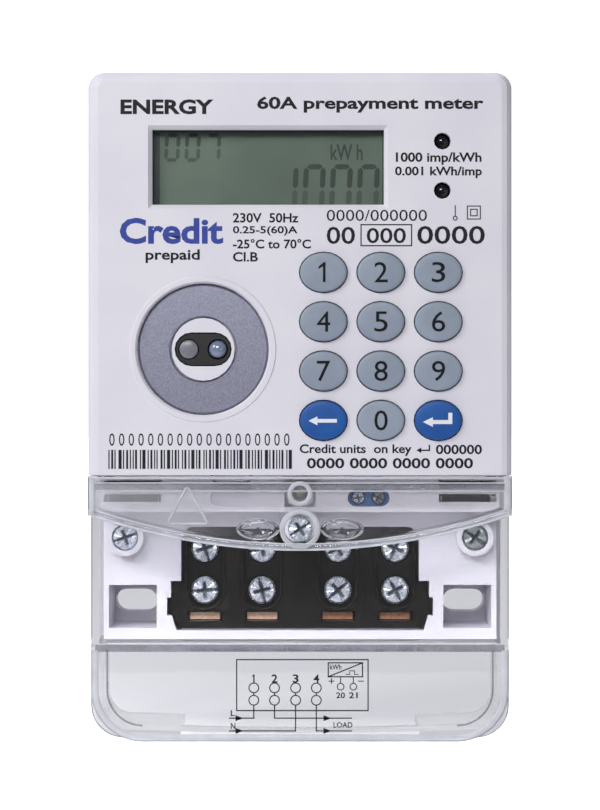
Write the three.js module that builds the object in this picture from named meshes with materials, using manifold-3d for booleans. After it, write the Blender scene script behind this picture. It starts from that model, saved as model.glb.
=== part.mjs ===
// Prepaid electricity meter for one phase, hung on a wall.
//
// Millimetres. +Z is up, +X is to the right of a reader who faces the meter, and the face looks
// along -Y. The origin is on the wall plane, at the middle of the width and of the height.
// "Depth" is the distance from the wall plane, so a point at depth d has Y = -d.

import * as THREE from 'three';
import { mergeVertices } from 'three/addons/utils/BufferGeometryUtils.js';
import Module from 'manifold-3d';

const wasm = await Module();
wasm.setup();

// ---------------------------------------------------------------- overall sizes
const WIDTH = 105;
const HEIGHT = 167;
const DEPTH = 50;
const GAP = 0.3; // clearance between pieces that rest on each other
const OVERRUN = 1; // a cutter goes this far past the face that it opens
const OVERLAP = 0.5; // joined solids reach this far into each other

// ---------------------------------------------------------------- case
const FACE_HEIGHT = 99.75; // top edge to the lower edge of the white face
const LOWER_CASE_HEIGHT = 42.25; // the part of the case behind the terminal cover
const CASE_WALL = 2.2;
const FACE_WALL = 2.5;
const BACK_WALL = 2.5;
const BASE_DEPTH = 20; // rim of the rear base
const LEDGE_DEPTH = 41;
const LEDGE_HEIGHT = 9.4;
const LEDGE_WALL = 0.9; // lower wall of the ledge
const FLANGE_DEPTH = 30;
const TOP_CORNER = 4;
const LEAST_CORNER = 0.8; // on the inside of a wall
const FACE_FILLET = 2.6;
const LIP_WALL = 1;
const LIP_REACH = 1.5; // the front cover's locating lip reaches this far into the base
const POST_RADIUS = 3;
const POST_INSET = 8.5; // board post axis to the outer faces
const POST_HOLE = 1.5;

const TOP = HEIGHT / 2;
const BOTTOM = -HEIGHT / 2;
const HALF = WIDTH / 2;
const SPLIT = TOP - FACE_HEIGHT;
const CASE_BOTTOM = SPLIT - LOWER_CASE_HEIGHT;
const LEDGE_BOTTOM = SPLIT - LEDGE_HEIGHT;
const LEDGE_INSIDE = LEDGE_BOTTOM + LEDGE_WALL;
const COVER_SEAT = BASE_DEPTH + GAP;
const FACE_BACK = DEPTH - FACE_WALL;

// ---------------------------------------------------------------- terminal cover
const COVER_WALL = 2;
const COVER_CLEARANCE = 0.5; // side and lower clearance round the case
const COVER_STEP = 10; // the lower panel lies this far behind the face
const COVER_BACK = 1; // the cover stops short of the wall
const COVER_CORNER = 8;
const COVER_BULGE = 1; // the lower edge is this much lower on the centre line
const COVER_FILLET = 1;
const SMILE_DROP = 18.75; // lower edge of the raised zone, below the split, on the centre line
const SMILE_RISE = 8.7; // the same edge is this much higher at the sides
const WEB_THICKNESS = 1.8;
const WEB_BACK = 12;
const CABLE_SLOT_HALF = 30.5;
const CABLE_SLOT_DEPTH = 25;
const RIB_DROP = 2.95;
const RIB_HEIGHT = 1.4;
const RIB_DEPTH = 1.2;

const COVER_TOP = SPLIT - GAP;
const LOWER_HALF = HALF - COVER_WALL - COVER_CLEARANCE;
const PANEL_DEPTH = DEPTH - COVER_STEP;
const smileLow = SPLIT - SMILE_DROP;
const smileRadius = (HALF ** 2 + SMILE_RISE ** 2) / (2 * SMILE_RISE);

// ---------------------------------------------------------------- hooks, switch post and cover screw
const HOOK_INNER = 34.8;
const HOOK_OUTER = 49;
const HOOK_SLOT_HEIGHT = 2;
const HOOK_SLOT_DROPS = [2.55, 5.95]; // slot centres below the split
const HOOK_REACH = 4.5; // the hook goes this far behind the ledge's front
const SWITCH_POST_DROP = 4.55;
const SWITCH_POST_RADIUS = 2.9;
const SWITCH_NOTCH_HALF = 3.9;
const SWITCH_POST_REACH = 4.8;
const POST_DIMPLE = 1;
const COVER_SCREW_DROP = 13.35;
const COVER_SCREW_HEAD = 3;
const COVER_SCREW_SHANK = 1.7;
const COVER_BOSS_RADIUS = 4.85;
const CASE_BOSS_RADIUS = 4;
const WING_SPAN = 31;
const WING_HEIGHT = 5.2;
const WING_DEPTH = 1.1;
const HEAD_HEIGHT = 2.4;
const HEAD_RECESS = 0.4; // the cover screw's head lies this far below the face
const COLLAR_THICKNESS = 1;
const COLLAR_RADIUS = 2.6;
const COLLAR_BOSS_WALL = 0.7; // round the collar's bore, behind the ledge's front
const SCREW_TRAVEL = 5.6;
const THREAD_HOLD = 5.4; // thread inside the case boss when the cover is shut

// ---------------------------------------------------------------- display
const DISPLAY_X = -7.9;
const DISPLAY_DROP = 23.5; // below the top edge
const OPENING_WIDTH = 57.4;
const OPENING_HEIGHT = 18.6;
const OPENING_BEVEL = 1;
const WINDOW_MARGIN = 2.2;
const WINDOW_THICKNESS = 1.8;
const GLASS_WIDTH = 62;
const GLASS_HEIGHT = 26;
const GLASS_THICKNESS = 2;
const BACKLIGHT_THICKNESS = 2;
const FRAME_WALL = 1.9;
const BOARD_THICKNESS = 1.6;
const BOARD_MARGIN = 2.8;

const DISPLAY_Z = TOP - DISPLAY_DROP;
const WINDOW_FRONT = FACE_BACK - GAP;
const GLASS_FRONT = WINDOW_FRONT - WINDOW_THICKNESS - GAP;
const BACKLIGHT_FRONT = GLASS_FRONT - GLASS_THICKNESS - GAP;
const BOARD_FRONT = BACKLIGHT_FRONT - BACKLIGHT_THICKNESS - GAP;
const BOARD_BACK = BOARD_FRONT - BOARD_THICKNESS;
const BOARD_LOW = SPLIT + CASE_WALL + GAP;

// ---------------------------------------------------------------- keypad
const KEY_WIDTH = 11.6;
const KEY_HEIGHT = 9.7;
const KEY_SPACING_X = 2.6; // between the keys' edges
const KEY_SPACING_Z = 2.5;
const KEY_X = 20; // middle column
const KEY_DROP = 49.6; // top row below the top edge
const KEY_PROUD = 1.4;
const KEY_BEVEL = 0.6;
const KEY_FLANGE = 0.8;
const KEY_FLANGE_HEIGHT = 1.9;
const KEY_TRAVEL = 1.2;
const KEY_CURVE = 12; // segments of half an oval
const PILL_RADIUS = 3;
const MAT_THICKNESS = 1.2;
const MAT_MARGIN = 1.6;
const KEY_PITCH_X = KEY_WIDTH + KEY_SPACING_X;
const KEY_PITCH_Z = KEY_HEIGHT + KEY_SPACING_Z;
const KEY_ROWS = [
  ['key_1', 'key_2', 'key_3'],
  ['key_4', 'key_5', 'key_6'],
  ['key_7', 'key_8', 'key_9'],
  ['key_back', 'key_0', 'key_enter'],
];

// ---------------------------------------------------------------- lamps and optical port
const LED_X = 35.2;
const LED_DROPS = [17.1, 29.3];
const LED_RADIUS = 1.8;
const LED_HOLE_RADIUS = 2.125;
const LED_RECESS = 1.6;
const PORT_X = -24;
const PORT_DROP = 68.6;
const PORT_RECESS_RADIUS = 16.3;
const PORT_BEVEL = 1.9;
const PORT_BEVEL_DEPTH = 0.7;
const RING_RECESS = 1.1;
const PEDESTAL_RECESS = 0.2; // the inner disc lies this far behind the ring
const RING_THICKNESS = 1.5;
const RING_RADIUS = 16;
const RING_HOLE_RADIUS = 8.1;
const PORT_FLOOR = 2.2;
const SLOT_WIDTH = 14.2;
const SLOT_HEIGHT = 8.4;
const DIODE_RADIUS = 2.3;
const DIODE_OFFSET = 3.6;
const LAMP_RIM = 0.4;
const LAMP_RIM_HEIGHT = 1;
const LAMP_DOME = { height: 0.55, shoulder: 0.35, width: 0.78 }; // shares of the lamp's radius

const PORT_Z = TOP - PORT_DROP;
const RING_FRONT = DEPTH - RING_RECESS;
const RING_BACK = RING_FRONT - RING_THICKNESS;

// ---------------------------------------------------------------- terminals
const TERMINAL_PITCH = 14.7;
const CENTRE_SPAN = 19.4; // between the second and the third terminal
const BLOCK_DROP = 13.95;
const BLOCK_HEIGHT = 25.8;
const BLOCK_DEPTH = 27;
const BLOCK_SIDE = 5.6; // outer terminal axis to the block's side
const BLOCK_CORNER = 3;
const SCREW_DROPS = [5.4, 16.2]; // terminal screws below the block's top
const CLAMP_HALF = 4.2;
const CLAMP_DROP = 2.3;
const CLAMP_HEIGHT = 18.2;
const CLAMP_BACK = 5.5;
const CLAMP_FRONT = 20.2;
const CABLE_RADIUS = 3.3;
const CABLE_AXIS = 11; // depth of the conductor's axis
const TONGUE_HALF = 3.85;
const TONGUE_THICKNESS = 1.8;
const TONGUE_DROP = 1.4; // below the clamp
const TONGUE_BACK = 1; // in front of the conductor
const TONGUE_FRONT = 24;
const CHANNEL_HALF = 4.6;
const CHANNEL_DEPTH = 2.2;
const CHANNEL_CORNER = 4.2;
const COUNTERBORE_RADIUS = 4;
const COUNTERBORE_DEPTH = 3.9;
const TERMINAL_HEAD = 3.5;
const TERMINAL_HEAD_HEIGHT = 2.6;
const TERMINAL_SHANK = 2;
const BUSBAR_HALF = 3;
const BUSBAR_THICKNESS = 1.5;
const BUSBAR_DEPTH = 7;
const SHUNT_NECK = 0.6; // share of the busbar's width at the shunt's middle

const BLOCK_TOP = SPLIT - BLOCK_DROP;
const BLOCK_BOTTOM = BLOCK_TOP - BLOCK_HEIGHT;
const CLAMP_TOP = BLOCK_TOP - CLAMP_DROP;
const CLAMP_BOTTOM = CLAMP_TOP - CLAMP_HEIGHT;
const INNER_TERMINAL = CENTRE_SPAN / 2;
const OUTER_TERMINAL = INNER_TERMINAL + TERMINAL_PITCH;
const TERMINALS = [-OUTER_TERMINAL, -INNER_TERMINAL, INNER_TERMINAL, OUTER_TERMINAL];
const BLOCK_HALF = OUTER_TERMINAL + BLOCK_SIDE;
// The block widens in two steps and then narrows: [added half-width, drop below the block's top].
const BLOCK_STEPS = [[0, 13.8], [2.6, 18], [3.6, 22]];
const BLOCK_FOOT = 1.2;
const BLOCK_WIDEST = BLOCK_HALF + BLOCK_STEPS[2][0];

// ---------------------------------------------------------------- auxiliary terminal
const AUX_X = 17.2;
const AUX_DROP = 5.95;
const AUX_SLOT_WIDTH = 10.6;
const AUX_SLOT_HEIGHT = 4.3;
const AUX_PITCH = 5.08;
const AUX_HEAD = 1.6;
const AUX_HEAD_HEIGHT = 1.2;
const AUX_SHANK = 0.9;
const AUX_SHANK_LENGTH = 4.5;
const AUX_REACH = 10.5; // body length behind the ledge
const AUX_BLIND = 1.6;
const AUX_SINK = 0.1; // the screw heads lie this far behind the body's front
const AUX_ENTRY = { half: 1.5, height: 5, depths: [1.2, 4.2] }; // wire holes, in front of the flange
const AUX_TAIL = 5; // the soldered end, behind the board

// ---------------------------------------------------------------- fixings
const CASE_SCREW_X = 44.4;
const CASE_SCREW_DROP = 16.25;
const CASE_SCREW_HEAD = 3.1;
const CASE_SCREW_SHANK = 1.3;
const CASE_SCREW_LENGTH = 19;
const BOSS_RADIUS = 4.75;
const BOSS_DEPTH = 33;
const SCREW_POCKET = 2.2;
const CASE_SCREW_HEAD_HEIGHT = 1.9;
const BOSS_BACK = 1;
const SLOT_X = 43;
const SLOT_DROP = 33.95; // mounting slots below the split
const MOUNT_SLOT_WIDTH = 11;
const MOUNT_SLOT_HEIGHT = 6;
const PAD_DEPTH = 8;
const POCKET_WALL = 1.3;
const POCKET_HALF_HEIGHT = 5.5;
const HANGER_HALF = 12;
const HANGER_NECK_HALF = 10;
const HANGER_HEIGHT = 21;
const HANGER_PLATE = 1.2;
const HANGER_NECK = 0.9;
const HANGER_EYE = 3.1;
const HANGER_EYE_DROP = 6.4;
const HANGER_COVER = 1.8;

// ---------------------------------------------------------------- inside pieces
const RELAY = { x: -17, low: 10, width: 38, height: 36, depth: 18 };
const TRANSFORMER = { x: 24, low: 8, width: 30, height: 26, depth: 22 };
const BATTERY = { x: -25, drop: 13, radius: 7.2, length: 25 };
const BUZZER = { x: 0, drop: 16, radius: 6, height: 7 };
const CHIP = { x: 4, drop: 42, size: 12, height: 1.5 };
const ELECTROLYTIC = { x: 32, drop: 16, radius: 6.3, length: 22 };
const FILM = { x: 30, drop: 38, width: 26, height: 10, depth: 17 };
const SWITCH = { half: 4.2, height: 13, depth: 7 };
const PLUNGER_RADIUS = 1.2;
const PLUNGER_STROKE = 0.8;
const PLUNGER_SHOWN = 1.4; // in front of the switch
const PLUNGER_LENGTH = 3;
const BOBBIN_SHOWN = 3; // beyond each face of the core
const HEAD_CROWN = { width: 0.82, height: 0.7 }; // a screw head's flat top and the foot of its chamfer
const RECESS_CLAMP = { long: 2.4, wide: 0.55, deep: 1.3 };
const RECESS_COVER = { long: 1.9, wide: 0.45, deep: 1.3 };
const RECESS_CASE = { long: 1.9, wide: 0.4, deep: 1.1 };
const RECESS_AUX = { long: 1.1, wide: 0.3, deep: 0.6 };

// ================================================================ building blocks

// A closed three.js geometry as a solid for cutting and joining.
function solid(geometry) {
  const bare = new THREE.BufferGeometry();
  bare.setAttribute('position', geometry.getAttribute('position'));
  bare.setIndex(geometry.getIndex());
  const merged = mergeVertices(bare, 1e-5);
  const index = merged.getIndex().array;
  const corners = [];
  for (let i = 0; i < index.length; i += 3) {
    const [a, b, c] = index.slice(i, i + 3);
    if (a !== b && b !== c && c !== a) {
      corners.push(a, b, c);
    }
  }
  const vertProperties = new Float32Array(merged.getAttribute('position').array);
  const triVerts = new Uint32Array(corners);
  return new wasm.Manifold(new wasm.Mesh({ numProp: 3, vertProperties, triVerts }));
}

function join(...solids) {
  return solids.reduce((sum, item) => sum.add(item));
}

function cut(body, ...tools) {
  return tools.reduce((rest, tool) => rest.subtract(tool), body);
}

// Box between two X, two Z and two depths.
function box([x0, x1], [z0, z1], [near, far]) {
  const geometry = new THREE.BoxGeometry(x1 - x0, far - near, z1 - z0);
  geometry.translate((x0 + x1) / 2, -(near + far) / 2, (z0 + z1) / 2);
  return solid(geometry);
}

// Round bar along the depth direction; two radii make a cone.
function bar(x, z, radius, [near, far], sides = 16, farRadius = radius) {
  const geometry = new THREE.CylinderGeometry(radius, farRadius, far - near, sides);
  geometry.translate(x, -(near + far) / 2, z);
  return solid(geometry);
}

// Round bar that stands upright.
function column(x, depth, radius, [z0, z1], sides = 16, topRadius = radius) {
  const geometry = new THREE.CylinderGeometry(topRadius, radius, z1 - z0, sides);
  geometry.rotateX(Math.PI / 2);
  geometry.translate(x, -depth, (z0 + z1) / 2);
  return solid(geometry);
}

// An outline in X and Z, extruded from one depth to another.
function plate(outline, [near, far], curveSegments = 6) {
  const options = { depth: far - near, bevelEnabled: false, curveSegments };
  const geometry = new THREE.ExtrudeGeometry(outline, options);
  geometry.translate(0, 0, near);
  geometry.rotateX(Math.PI / 2);
  return solid(geometry);
}

// The same with the edge of its far face rounded, or chamfered when steps is 1.
function softPlate(outline, [near, far], radius, steps = 3, curveSegments = 6) {
  const options = {
    depth: far - near,
    bevelThickness: radius,
    bevelSize: radius,
    bevelOffset: -radius,
    bevelSegments: steps,
    curveSegments,
  };
  const geometry = new THREE.ExtrudeGeometry(outline, options);
  geometry.translate(0, 0, near - radius);
  geometry.rotateX(Math.PI / 2);
  const reach = 2 * (WIDTH + HEIGHT);
  const behind = box([-reach, reach], [-reach, reach], [near - 4 * radius, near]);
  return solid(geometry).subtract(behind);
}

// A cutter that opens an outline out by a 45 degree bevel at the given depth.
function bevelCutter(outline, depth, size) {
  const options = { depth: size, bevelThickness: size, bevelSize: size, bevelSegments: 1 };
  const geometry = new THREE.ExtrudeGeometry(outline, options);
  geometry.translate(0, 0, depth);
  geometry.rotateX(Math.PI / 2);
  return solid(geometry);
}

function rectangle([x0, x1], [z0, z1], radius = 0) {
  const outline = new THREE.Shape();
  if (radius === 0) {
    outline.moveTo(x0, z0).lineTo(x1, z0).lineTo(x1, z1).lineTo(x0, z1).closePath();
    return outline;
  }
  outline.moveTo(x0 + radius, z0);
  outline.lineTo(x1 - radius, z0);
  outline.absarc(x1 - radius, z0 + radius, radius, -Math.PI / 2, 0);
  outline.lineTo(x1, z1 - radius);
  outline.absarc(x1 - radius, z1 - radius, radius, 0, Math.PI / 2);
  outline.lineTo(x0 + radius, z1);
  outline.absarc(x0 + radius, z1 - radius, radius, Math.PI / 2, Math.PI);
  outline.lineTo(x0, z0 + radius);
  outline.absarc(x0 + radius, z0 + radius, radius, Math.PI, 1.5 * Math.PI);
  return outline;
}

function centred(x, z, width, height, radius = 0) {
  return rectangle([x - width / 2, x + width / 2], [z - height / 2, z + height / 2], radius);
}

// A slot with round ends, longer along X.
function stadium(x, z, width, height) {
  const outline = new THREE.Shape();
  const radius = height / 2;
  const reach = width / 2 - radius;
  outline.absarc(x + reach, z, radius, -Math.PI / 2, Math.PI / 2);
  outline.absarc(x - reach, z, radius, Math.PI / 2, 1.5 * Math.PI);
  return outline;
}

function ellipse(width, height) {
  const outline = new THREE.Shape();
  outline.absellipse(0, 0, width / 2, height / 2, 0, 2 * Math.PI);
  return outline;
}

// Both sides of the meter: calls make(-1) and make(1).
function bothSides(make) {
  return [-1, 1].map(make);
}

function span(middle, half) {
  return [middle - half, middle + half];
}

function mirrored(side, low, high) {
  return side < 0 ? [-high, -low] : [low, high];
}

// ================================================================ case

// Outline of the whole case. It narrows below the split, where the terminal cover wraps it.
function caseOutline(inset) {
  const upper = HALF - inset;
  const lower = LOWER_HALF - inset;
  const floor = CASE_BOTTOM + inset;
  const shoulder = SPLIT + inset;
  const crown = TOP - inset;
  const radius = Math.max(TOP_CORNER - inset, LEAST_CORNER);
  const outline = new THREE.Shape();
  outline.moveTo(-lower, floor);
  outline.lineTo(lower, floor);
  outline.lineTo(lower, shoulder);
  outline.lineTo(upper, shoulder);
  outline.lineTo(upper, crown - radius);
  outline.absarc(upper - radius, crown - radius, radius, 0, Math.PI / 2);
  outline.lineTo(-upper + radius, crown);
  outline.absarc(-upper + radius, crown - radius, radius, Math.PI / 2, Math.PI);
  outline.lineTo(-upper, shoulder);
  outline.lineTo(-lower, shoulder);
  outline.closePath();
  return outline;
}

// The pocket round each mounting slot, in the base and again in the front cover.
const pocket = {
  x: [BLOCK_WIDEST + GAP + 2 * POCKET_WALL, LOWER_HALF - POCKET_WALL],
  z: span(SPLIT - SLOT_DROP, POCKET_HALF_HEIGHT),
};

function pocketWalls(side, depths) {
  const [inner, outer] = pocket.x;
  const x = mirrored(side, inner - POCKET_WALL, outer + POCKET_WALL);
  const z = [pocket.z[0] - POCKET_WALL, pocket.z[1] + POCKET_WALL];
  return box(x, z, depths);
}

function pocketSpace(side, depths) {
  return box(mirrored(side, ...pocket.x), pocket.z, depths);
}

// Posts that hold the board, at its four corners.
const postX = HALF - POST_INSET;
const postZ = [SPLIT + POST_INSET, TOP - POST_INSET];

const hangerSlot = { neck: HANGER_NECK + 2 * GAP, floor: HANGER_NECK + HANGER_PLATE + 3 * GAP };

function rearBase() {
  const inside = caseOutline(CASE_WALL);
  const tray = cut(
    plate(caseOutline(0), [0, BASE_DEPTH]),
    plate(inside, [BACK_WALL, BASE_DEPTH + OVERRUN]),
  );
  const additions = [];
  for (const side of [-1, 1]) {
    additions.push(pocketWalls(side, [0, BASE_DEPTH]));
    const screwAt = [side * CASE_SCREW_X, SPLIT - CASE_SCREW_DROP];
    additions.push(bar(...screwAt, BOSS_RADIUS, [BOSS_BACK, BASE_DEPTH]));
    for (const z of postZ) {
      additions.push(bar(side * postX, z, POST_RADIUS, [BOSS_BACK, BOARD_BACK - GAP], 12));
    }
  }
  const slideHalf = HANGER_HALF + GAP + HANGER_COVER;
  const slideLow = TOP - HANGER_HEIGHT - GAP - HANGER_COVER;
  additions.push(box(span(0, slideHalf), [slideLow, TOP - OVERRUN], [0, hangerSlot.floor + HANGER_COVER]));

  const cuts = [];
  for (const side of [-1, 1]) {
    cuts.push(pocketSpace(side, [PAD_DEPTH, BASE_DEPTH + OVERRUN]));
    const slot = stadium(side * SLOT_X, SPLIT - SLOT_DROP, MOUNT_SLOT_WIDTH, MOUNT_SLOT_HEIGHT);
    cuts.push(plate(slot, [-OVERRUN, PAD_DEPTH + OVERRUN]));
    const bore = CASE_SCREW_SHANK + GAP;
    const boreEnd = BOSS_DEPTH - SCREW_POCKET - CASE_SCREW_LENGTH - OVERRUN;
    cuts.push(bar(side * CASE_SCREW_X, SPLIT - CASE_SCREW_DROP, bore, [boreEnd, BASE_DEPTH + OVERRUN], 12));
  }
  const slotLow = TOP - HANGER_HEIGHT - GAP;
  cuts.push(box(span(0, HANGER_NECK_HALF + GAP), [slotLow, TOP + OVERRUN], [-OVERRUN, hangerSlot.neck]));
  cuts.push(box(
    span(0, HANGER_HALF + GAP),
    [slotLow, TOP + OVERRUN],
    [HANGER_NECK, hangerSlot.floor],
  ));
  const gateZ = [CASE_BOTTOM - OVERRUN, CASE_BOTTOM + CASE_WALL + OVERRUN];
  cuts.push(box(span(0, CABLE_SLOT_HALF), gateZ, [CLAMP_BACK, BASE_DEPTH + OVERRUN]));
  return cut(join(tray, ...additions), ...cuts);
}

// The white face: a box with rounded front edges and a sharp lower edge at the split.
function faceShell(inset, depths, fillet) {
  const outline = rectangle(span(0, HALF - inset), [SPLIT - 2 * TOP_CORNER, TOP - inset], TOP_CORNER);
  const body = fillet > 0 ? softPlate(outline, depths, fillet) : plate(outline, depths);
  const below = box(span(0, WIDTH), [SPLIT - WIDTH, SPLIT + inset], [0, DEPTH + OVERRUN]);
  return body.subtract(below);
}

// The ledge lies inside the raised zone of the terminal cover, so its lower corners follow it.
function ledge(inset, low, top, depths) {
  const block = box(span(0, LOWER_HALF - inset), [low, top], depths);
  const zone = raisedOutline(COVER_WALL + COVER_CLEARANCE + inset, top + OVERRUN);
  return block.intersect(plate(zone, depths, 8));
}

function frontCoverShell() {
  const lowerX = span(0, LOWER_HALF);
  const lowerInside = span(0, LOWER_HALF - CASE_WALL);
  const overlap = SPLIT + CASE_WALL + OVERRUN;
  const outside = join(
    faceShell(0, [COVER_SEAT, DEPTH], FACE_FILLET),
    ledge(0, LEDGE_BOTTOM, SPLIT + OVERRUN, [COVER_SEAT, LEDGE_DEPTH]),
    box(lowerX, [CASE_BOTTOM, SPLIT + OVERRUN], [COVER_SEAT, FLANGE_DEPTH]),
  );
  const inside = join(
    faceShell(CASE_WALL, [COVER_SEAT - OVERRUN, FACE_BACK], 0),
    ledge(CASE_WALL, LEDGE_INSIDE, overlap, [COVER_SEAT - OVERRUN, LEDGE_DEPTH - CASE_WALL]),
    box(
      lowerInside,
      [CASE_BOTTOM + CASE_WALL, overlap],
      [COVER_SEAT - OVERRUN, FLANGE_DEPTH - CASE_WALL],
    ),
  );
  return outside.subtract(inside);
}

// A thin wall inside the base's rim that locates the front cover.
function locatingLip() {
  const outer = CASE_WALL + GAP;
  const inner = outer + LIP_WALL;
  const ring = join(
    plate(caseOutline(outer), [BASE_DEPTH - LIP_REACH, COVER_SEAT + OVERLAP]),
    plate(caseOutline(CASE_WALL / 2), [COVER_SEAT, COVER_SEAT + LIP_WALL]),
  );
  const hollowDepths = [BASE_DEPTH - LIP_REACH - OVERRUN, COVER_SEAT + LIP_WALL + OVERRUN];
  const hollow = plate(caseOutline(inner), hollowDepths);
  const upperOnly = box(span(0, WIDTH), [SPLIT + 2 * CASE_WALL, TOP + OVERRUN], [0, DEPTH]);
  return ring.subtract(hollow).intersect(upperOnly);
}

// Outline of the terminal block, grown by a clearance on every side.
function blockOutline(grow) {
  const top = BLOCK_TOP + grow;
  const corner = BLOCK_CORNER + grow;
  const right = [];
  let half = BLOCK_HALF;
  for (const [extra, drop] of BLOCK_STEPS) {
    half = BLOCK_HALF + extra + grow;
    right.push([half, extra === 0 ? top - corner : right[right.length - 1][1]]);
    right.push([half, BLOCK_TOP - drop + (extra === BLOCK_STEPS[2][0] ? -grow : grow)]);
  }
  right.push([BLOCK_WIDEST - BLOCK_FOOT + grow, BLOCK_TOP - BLOCK_STEPS[2][1] - grow]);
  right.push([BLOCK_WIDEST - 2 * BLOCK_FOOT + grow, BLOCK_BOTTOM - grow]);
  const outline = new THREE.Shape();
  const [foot, ...rest] = right.reverse();
  outline.moveTo(-foot[0], foot[1]);
  outline.lineTo(...foot);
  for (const point of rest) {
    outline.lineTo(...point);
  }
  const arcX = BLOCK_HALF + grow - corner;
  outline.absarc(arcX, top - corner, corner, 0, Math.PI / 2);
  outline.lineTo(-arcX, top);
  outline.absarc(-arcX, top - corner, corner, Math.PI / 2, Math.PI);
  for (const [x, z] of rest.reverse()) {
    outline.lineTo(-x, z);
  }
  return outline;
}

function keyPlaces() {
  const places = [];
  KEY_ROWS.forEach((row, down) => {
    row.forEach((name, across) => {
      const x = KEY_X + (across - 1) * KEY_PITCH_X;
      const z = TOP - KEY_DROP - down * KEY_PITCH_Z;
      places.push({ name, x, z });
    });
  });
  return places;
}

function slotZ(drop) {
  return span(SPLIT - drop, HOOK_SLOT_HEIGHT / 2);
}

function auxSlot(side) {
  return stadium(side * AUX_X, SPLIT - AUX_DROP, AUX_SLOT_WIDTH, AUX_SLOT_HEIGHT);
}

function frontCover() {
  const recess = RING_BACK - GAP;
  const bossZ = SPLIT - COVER_SCREW_DROP;
  const bossFront = PANEL_DEPTH - COVER_WALL;
  const threadEnd = bossFront - THREAD_HOLD - OVERRUN;
  const flangeBack = FLANGE_DEPTH - CASE_WALL;
  const ledgeBack = LEDGE_DEPTH - CASE_WALL;
  const screwSeat = BOSS_DEPTH - SCREW_POCKET;
  const blockOpening = plate(blockOutline(GAP), [flangeBack - OVERRUN, FLANGE_DEPTH + OVERRUN]);

  const additions = [
    locatingLip(),
    bar(PORT_X, PORT_Z, PORT_RECESS_RADIUS + CASE_WALL, [recess - PORT_FLOOR, FACE_BACK + OVERLAP], 32),
    bar(0, bossZ, CASE_BOSS_RADIUS, [flangeBack, bossFront]),
    box(span(0, CASE_BOSS_RADIUS), [bossZ, LEDGE_BOTTOM + OVERLAP], [flangeBack, bossFront]),
  ];
  const cuts = [
    bar(0, bossZ, COVER_SCREW_SHANK + GAP, [threadEnd, bossFront + OVERRUN], 12),
    box(
      span(0, SWITCH_NOTCH_HALF),
      span(SPLIT - SWITCH_POST_DROP, SWITCH_NOTCH_HALF - GAP),
      [ledgeBack - OVERRUN, LEDGE_DEPTH + OVERRUN],
    ),
    plate(auxSlot(1), [ledgeBack - OVERRUN, DEPTH], 4),
    plate(auxSlot(-1), [LEDGE_DEPTH - AUX_BLIND, LEDGE_DEPTH + OVERRUN], 4),
    box(
      span(AUX_X, AUX_PITCH - GAP),
      [LEDGE_BOTTOM - OVERRUN, LEDGE_INSIDE + OVERRUN],
      [FLANGE_DEPTH + OVERRUN, LEDGE_DEPTH - 3 * CASE_WALL],
    ),
    box(
      span(0, CABLE_SLOT_HALF),
      [CASE_BOTTOM - OVERRUN, CASE_BOTTOM + CASE_WALL + OVERRUN],
      [COVER_SEAT - OVERRUN, CABLE_SLOT_DEPTH],
    ),
  ];
  for (const side of [-1, 1]) {
    const screwAt = [side * CASE_SCREW_X, SPLIT - CASE_SCREW_DROP];
    additions.push(pocketWalls(side, [COVER_SEAT, FLANGE_DEPTH]));
    additions.push(bar(...screwAt, BOSS_RADIUS, [COVER_SEAT, BOSS_DEPTH], 20));
    cuts.push(pocketSpace(side, [COVER_SEAT - OVERRUN, FLANGE_DEPTH + OVERRUN]));
    cuts.push(bar(...screwAt, CASE_SCREW_SHANK + GAP, [COVER_SEAT - OVERRUN, BOSS_DEPTH], 12));
    cuts.push(bar(...screwAt, CASE_SCREW_HEAD + GAP, [screwSeat, BOSS_DEPTH + OVERRUN]));
    for (const drop of HOOK_SLOT_DROPS) {
      const slotX = mirrored(side, HOOK_INNER, HOOK_OUTER);
      cuts.push(box(slotX, slotZ(drop), [LEDGE_DEPTH - HOOK_REACH - GAP, LEDGE_DEPTH + OVERRUN]));
    }
  }
  for (const drop of LED_DROPS) {
    cuts.push(bar(LED_X, TOP - drop, LED_HOLE_RADIUS, [FACE_BACK - OVERRUN, DEPTH + OVERRUN], 12));
  }
  const throughFace = [FACE_BACK - OVERRUN, DEPTH + OVERRUN];
  const opening = centred(DISPLAY_X, DISPLAY_Z, OPENING_WIDTH, OPENING_HEIGHT);
    cuts.push(plate(opening, throughFace));
  cuts.push(bevelCutter(opening, DEPTH, OPENING_BEVEL));
  cuts.push(bar(PORT_X, PORT_Z, PORT_RECESS_RADIUS, [recess, DEPTH + OVERRUN], 40));
  const bevelDepths = [DEPTH - PORT_BEVEL_DEPTH, DEPTH];
  cuts.push(
    bar(PORT_X, PORT_Z, PORT_RECESS_RADIUS, bevelDepths, 40, PORT_RECESS_RADIUS + PORT_BEVEL),
  );
  for (const { x, z } of keyPlaces()) {
    const hole = ellipse(KEY_WIDTH + 2 * GAP, KEY_HEIGHT + 2 * GAP);
    cuts.push(plate(hole, throughFace, KEY_CURVE).translate([x, 0, z]));
  }

  const shell = cut(frontCoverShell(), blockOpening);
  const cover = cut(join(shell, ...additions), ...cuts);
  const pedestalDepths = [recess - OVERRUN, RING_FRONT - PEDESTAL_RECESS];
  const pedestal = bar(PORT_X, PORT_Z, RING_HOLE_RADIUS - GAP, pedestalDepths, 24);
  const insertSlot = plate(stadium(PORT_X, PORT_Z, SLOT_WIDTH, SLOT_HEIGHT), [BOARD_BACK, DEPTH], 4);
  return cut(join(cover, pedestal), insertSlot);
}

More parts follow.
